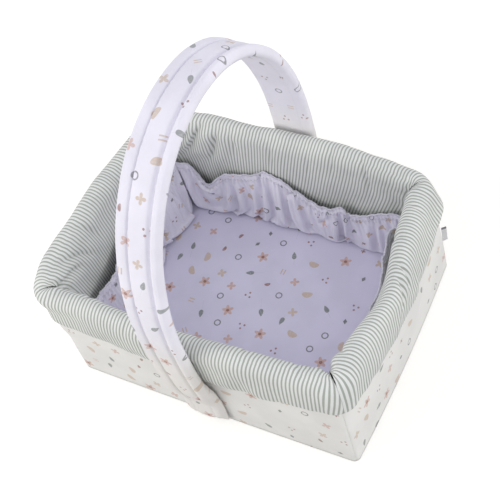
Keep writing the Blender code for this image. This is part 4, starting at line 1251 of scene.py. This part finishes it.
def hoop_points():
    """The hoop's middle line from foot to foot: how far out, how high, and its share of the full width."""
    half = []
    for share in np.linspace(0.30, 1, 14):
        drop = math.sqrt(FOOT_RADIUS ** 2 - (share * SLEEVE_HALF_WIDTH) ** 2)
        half.append((FOOT_PLANE - FOOT_TUCK * foot_closing(PIVOT_HEIGHT - drop), PIVOT_HEIGHT - drop, share))
    for height in np.linspace(half[-1][1], FLARE_START_HEIGHT, 16)[1:-1]:
        half.append((FOOT_PLANE - FOOT_TUCK * foot_closing(height), height, 1.0))
    for share in np.linspace(0, 1, 36)[:-1]:
        height = FLARE_START_HEIGHT + (HOOP_SPRING_HEIGHT - FLARE_START_HEIGHT) * share
        reach = 1 - (1 - share) ** LEG_BEND_POWER
        half.append((FOOT_PLANE + (HOOP_HALF_SPAN - FOOT_PLANE) * reach, height, 1.0))
    arch = HOOP_TOP_HEIGHT - HOOP_SPRING_HEIGHT
    for angle in np.linspace(0, math.pi / 2, 60):
        y = HOOP_HALF_SPAN * max(math.cos(angle), 0.0) ** (2 / HOOP_POWER)
        half.append((y, HOOP_SPRING_HEIGHT + arch * math.sin(angle) ** (2 / HOOP_POWER), 1.0))
    half[-1] = (0.0, HOOP_TOP_HEIGHT, 1.0)
    return np.array(half + [(-y, z, share) for y, z, share in reversed(half[:-1])])


def even_path(path, step, keep):
    """The hoop's points, evened out between its two feet."""
    run = run_along(path[:, :2])
    low, high = run[keep], run[-keep - 1]
    even = np.linspace(low, high, int((high - low) / step))
    where = np.concatenate([run[:keep], even, run[-keep:]])
    return np.stack([np.interp(where, run, path[:, k]) for k in range(3)], 1), where


def make_handle():
    """The hoop's padded sleeve, with the three channels that two rows of stitches make."""
    path, run = even_path(hoop_points(), 0.0030, 14)
    ahead = unit(np.gradient(path[:, :2], axis=0))
    nothing = np.zeros(len(path))
    out = np.stack([nothing, ahead[:, 1], -ahead[:, 0]], 1)
    centre = np.stack([nothing, path[:, 0], path[:, 1]], 1)
    full = rise(path[:, 1], PADDING_START_HEIGHT, PADDING_FULL_HEIGHT)
    for _ in range(12):
        path[15:-15, 0] = (path[14:-16, 0] + 2 * path[15:-15, 0] + path[16:-14, 0]) / 4

    left_seam = -SLEEVE_HALF_WIDTH + OUTER_BAND_WIDTH
    right_seam = SLEEVE_HALF_WIDTH - INNER_BAND_WIDTH
    across_out = np.concatenate([
        np.linspace(-1, left_seam / SLEEVE_HALF_WIDTH, 25),
        np.linspace(left_seam, right_seam, 35)[1:] / SLEEVE_HALF_WIDTH,
        np.linspace(right_seam / SLEEVE_HALF_WIDTH, 1, 27)[1:],
    ])
    across_in = np.linspace(1, -1, 26)[1:-1]
    across = np.concatenate([across_out, across_in])
    x_out, x_in, x_all = (share * SLEEVE_HALF_WIDTH for share in (across_out, across_in, across))

    def channel(low, high, power):
        t = np.clip((x_out - low) / (high - low), 0, 1)
        return (1 - np.abs(2 * t - 1) ** power) * (t > 0) * (t < 1)

    def round_edge(x, radius):
        past = ((np.abs(x) - SLEEVE_HALF_WIDTH + radius) / radius).clip(0, 1)
        return np.sqrt(np.clip(1 - past ** 2, 0, 1))

    swell = 0.0024 * channel(-SLEEVE_HALF_WIDTH, left_seam, 2.6)
    swell += 0.0017 * channel(left_seam, right_seam, 4.0)
    swell += 0.0030 * channel(right_seam, SLEEVE_HALF_WIDTH, 2.2)
    edge, edge_in = round_edge(x_out, OUTER_EDGE_RADIUS), round_edge(x_in, INNER_EDGE_RADIUS)
    groove = 0.0016 * bell(x_out, left_seam, 0.0008) + 0.0024 * bell(x_out, right_seam, 0.0021)
    sewn = bell(x_out, left_seam, 0.0022) + bell(x_out, right_seam, 0.0030)
    swell_heights, swell_depths = np.array(SLEEVE_INNER_SWELL).T

    def closing(x, height):
        """How far the sleeve's two layers lie on each other, round the end of the strip inside it."""
        radius = np.hypot(x, height - PIVOT_HEIGHT)
        return rise(radius, 0.0225, 0.0350) * rise(height, 0.034, 0.024)

    rings = []
    for (_, level, share), s, padded, middle, outwards in zip(path, run, full, centre, out):
        shut, shut_in = closing(x_out * share, level), closing(x_in * share, level)
        base = SLEEVE_FLAT + (SLEEVE_PADDED - SLEEVE_FLAT) * padded + (SLEEVE_CLOSED - SLEEVE_FLAT) * shut
        wave = ripples(x_out, s, 500, *SLEEVE_RIPPLES)
        pucker = 0.00028 * np.sin(2 * math.pi * s / 0.0043) * sewn
        height = swell * (0.15 + 0.85 * padded) + wave + pucker - groove * (0.4 + 0.6 * padded)
        lift = (base + height * (1 - 0.8 * shut) + CLOSED_DEPTH * shut) * edge - CLOSED_DEPTH * shut
        sag_in = np.interp(level, swell_heights, swell_depths) * (1 - np.abs(across_in) ** 6)
        lift_in = 0.0002 * np.abs(wander(x_in / 0.02, s / 0.02, 503)) - SLEEVE_FACE - sag_in
        lift_in = (lift_in + CLOSED_DEPTH * shut_in) * edge_in - CLOSED_DEPTH * shut_in
        lift_in -= 0.0003 * padded * edge_in * np.cos(x_in / SLEEVE_HALF_WIDTH * math.pi / 2)
        curl = 0.0028 * rise(level, 0.016, 0.030) * rise(level, 0.090, 0.070)
        lifts = np.concatenate([lift, lift_in]) - curl * rise(np.abs(x_all), 0.017, SLEEVE_HALF_WIDTH)
        widen = 0.00035 * wander(s / 0.035, np.array([0.0, 3.0]), 504)
        shifts = np.where(x_all < 0, -widen[0], widen[1]) * np.abs(across) ** 3
        places = (x_all + shifts)[:, None] * np.array((share, 0.0, 0.0))
        rings.append(middle + places + outwards * lifts[:, None])
    rings = np.array(rings)
    rings[..., 2] -= 0.0038 * rise(rings[..., 0], 0.008, 0.026) * rise(rings[..., 2], 0.030, 0.014)
    around = np.concatenate([x_out, 2 * SLEEVE_HALF_WIDTH - x_in, [3 * SLEEVE_HALF_WIDTH]])
    cloth = np.stack(np.meshgrid(around, run), 2)
    mesh = grid_mesh("padded_handle", rings, cloth, wrap=True, caps=True)
    # The last colour is the ends' ground: painted shade and warm light low on the legs
    sleeve_cotton = printed_cotton(
        "printed cotton, handle", linear(238, 236, 246), 0.75, float(run[-1]), linear(234, 231, 228)
    )
    obj = new_piece("padded_handle", mesh, sleeve_cotton, "handle")
    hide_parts("handle_sleeve", "handle_wadding")

    whole = path[:, 2] >= 1
    columns = (
        ("left", np.argmin(np.abs(x_out - left_seam)), 1),
        ("right", np.argmin(np.abs(x_out - right_seam)), 1),
        ("inner", len(x_out) + np.argmin(np.abs(x_in - right_seam)), -1),
    )
    for end, column, way in columns:
        face = out[whole] * way
        name = "handle_stitches_" + end
        shape = stitch_mesh(name, rings[whole, column] + face * 0.00012, face, *HANDLE_STITCHES)
        new_piece(name, shape, white_thread, "handle")


# Side label
def make_label():
    """A bare folded tape that stands out of the back right corner seam."""
    low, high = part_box("side_label")
    corner = Vector((low.x, low.y, low.z))
    diagonal = Vector((1.0, 1.0, 0.0)).normalized()
    across = Vector((-1.0, 1.0, 0.0)).normalized()
    reach = (Vector((high.x, high.y, 0)) - Vector((low.x, low.y, 0))).length - 0.0008
    height = high.z - low.z
    half_gap, spread = 0.0002, 0.0001
    section = [(s, -half_gap - spread) for s in np.linspace(0, 1, 9)]
    section += [(1.0 + 0.03 * math.sin(a), half_gap * -math.cos(a)) for a in np.linspace(0.4, 2.7, 5)]
    section += [(s, half_gap + spread) for s in np.linspace(1, 0, 9)]
    rows, cloth = [], []
    for z in np.linspace(0, height, 14):
        row = []
        for s, t in section:
            bend = 0.0004 * math.sin(s * 3.0 + z * 90) * s
            row.append(corner + Vector((0.0004, 0.0004, 0)) + diagonal * s * (reach - 0.001)
                       + across * (t + bend) + Vector((0, 0, z)))
        rows.append([tuple(p) for p in row])
        cloth.append([(k * 0.0008, z) for k in range(len(section))])
    mesh = grid_mesh("label", rows, cloth)
    obj = thicken(new_piece("label", mesh, woven_label(), "basket"), 0.0003)
    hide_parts("side_label")


# CAD pieces that stay
def dress_cad():
    """Gives the boards, the strip in the hoop, the rivets and the washers their materials."""
    board, white, metal = fibreboard(), plastic(), steel()
    for name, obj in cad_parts.items():
        if name.endswith("_board"):
            material = board
        elif name == "handle_core" or name.startswith("pivot_spacer"):
            material = white
        elif name.startswith("pivot_"):
            material = metal
        else:
            continue
        obj.data.materials.clear()
        obj.data.materials.append(material)


# Camera, light and floor
# Degrees round from the front, up, and of roll
CAMERA_ANGLES = (42.83649, 53.22401, -20.59144)
CAMERA_PLACE = (0.53931, -0.56652, 1.18079)
CAMERA_LENS = 83.109
LIGHT_TARGET = Vector((0.0, 0.0, 0.12))
# Name, place, size, watts and colour
LIGHTS = (
    ("front", (-0.7, -1.1, 0.55), 0.6, 4.7, (1.0, 0.97, 0.92)),
    ("side", (2.0, 0.1, 0.55), 1.3, 13.0, (1.0, 1.0, 1.0)),
    ("left", (-1.3, -1.0, 1.9), 1.2, 5.0, (1.0, 1.0, 1.0)),
)
AMBIENT_COLOUR = (0.96, 0.965, 1.0)
AMBIENT_STRENGTH = 0.86
FLOOR_COLOUR = (0.46, 0.45, 0.42)
FLOOR_GLOW = 0.63
FLOOR_HALF_SIZE = 4.0


def make_camera():
    azimuth, elevation, roll = (math.radians(a) for a in CAMERA_ANGLES)
    back = Vector((
        math.sin(azimuth) * math.cos(elevation), -math.cos(azimuth) * math.cos(elevation), math.sin(elevation)
    ))
    right = (-back).cross(Vector((0, 0, 1))).normalized()
    up = right.cross(-back)
    turned_right = right * math.cos(roll) + up * math.sin(roll)
    turned_up = up * math.cos(roll) - right * math.sin(roll)
    camera = bpy.data.cameras.new("camera")
    camera.sensor_width = 36.0
    camera.lens = CAMERA_LENS
    camera.clip_start = 0.05
    camera.clip_end = 50.0
    obj = add_object("camera", camera)
    rows = zip(turned_right, turned_up, back, CAMERA_PLACE)
    obj.matrix_world = Matrix((*rows, (0, 0, 0, 1)))
    bpy.context.scene.camera = obj


def make_lights():
    for name, place, size, watts, colour in LIGHTS:
        light = bpy.data.lights.new(name, "AREA")
        light.shape = "SQUARE"
        light.size = size
        light.energy = watts
        light.color = colour
        obj = add_object(name, light)
        obj.location = place
        obj.rotation_euler = (LIGHT_TARGET - Vector(place)).to_track_quat("-Z", "Y").to_euler()


def sight_rays(tree):
    """1 for camera, mirror and glass rays, and 0 for those that light the object."""
    rays = add_node(tree, "LightPath").outputs
    sight = Wire(tree, rays["Is Camera Ray"]).node("MAXIMUM", Wire(tree, rays["Is Glossy Ray"]))
    return sight.node("MAXIMUM", Wire(tree, rays["Is Transmission Ray"]))


def make_surroundings():
    world = bpy.data.worlds.new("studio")
    bpy.context.scene.world = world
    world.use_nodes = True
    tree = world.node_tree
    ambient = tree.nodes["Background"]
    connect(tree, AMBIENT_COLOUR, ambient.inputs["Color"])
    connect(tree, AMBIENT_STRENGTH, ambient.inputs["Strength"])
    seen = add_node(tree, "Background", {"Color": (1.0, 1.0, 1.0), "Strength": 1.0})
    mix = add_node(tree, "MixShader", {0: sight_rays(tree), 1: ambient.outputs[0], 2: seen.outputs[0]})
    connect(tree, mix.outputs[0], tree.nodes["World Output"].inputs["Surface"])

    ground = Shader("floor", 1.0, specular=0.0)
    connect(ground.tree, FLOOR_COLOUR, ground.shader.inputs["Base Color"])
    glow = ground.new("Emission", {"Strength": sight_rays(ground.tree) * FLOOR_GLOW})
    both = ground.new("AddShader", {0: ground.shader.outputs[0], 1: glow.outputs[0]})
    connect(ground.tree, both.outputs[0], ground.tree.nodes["Material Output"].inputs["Surface"])
    corners = [(x * FLOOR_HALF_SIZE, y * FLOOR_HALF_SIZE, 0) for x, y in ((-1, -1), (1, -1), (1, 1), (-1, 1))]
    mesh = bpy.data.meshes.new("floor")
    mesh.from_pydata(corners, [], [(0, 1, 2, 3)])
    mesh.materials.append(ground.material)
    floor = add_object("floor", mesh)
    floor.location.z = -0.0002


make_camera()
make_lights()
make_surroundings()
for wall_side in SIDES:
    make_outer_cover(wall_side)
make_base_cover()
for wall_side in SIDES:
    make_cuff(wall_side)
make_pad()
frill_rows = [make_lining(wall_side) for wall_side in SIDES]
make_elastic(frill_rows)
make_handle()
make_label()
dress_cad()

bpy.context.scene.view_settings.view_transform = "Standard"
bpy.context.view_layer.update()
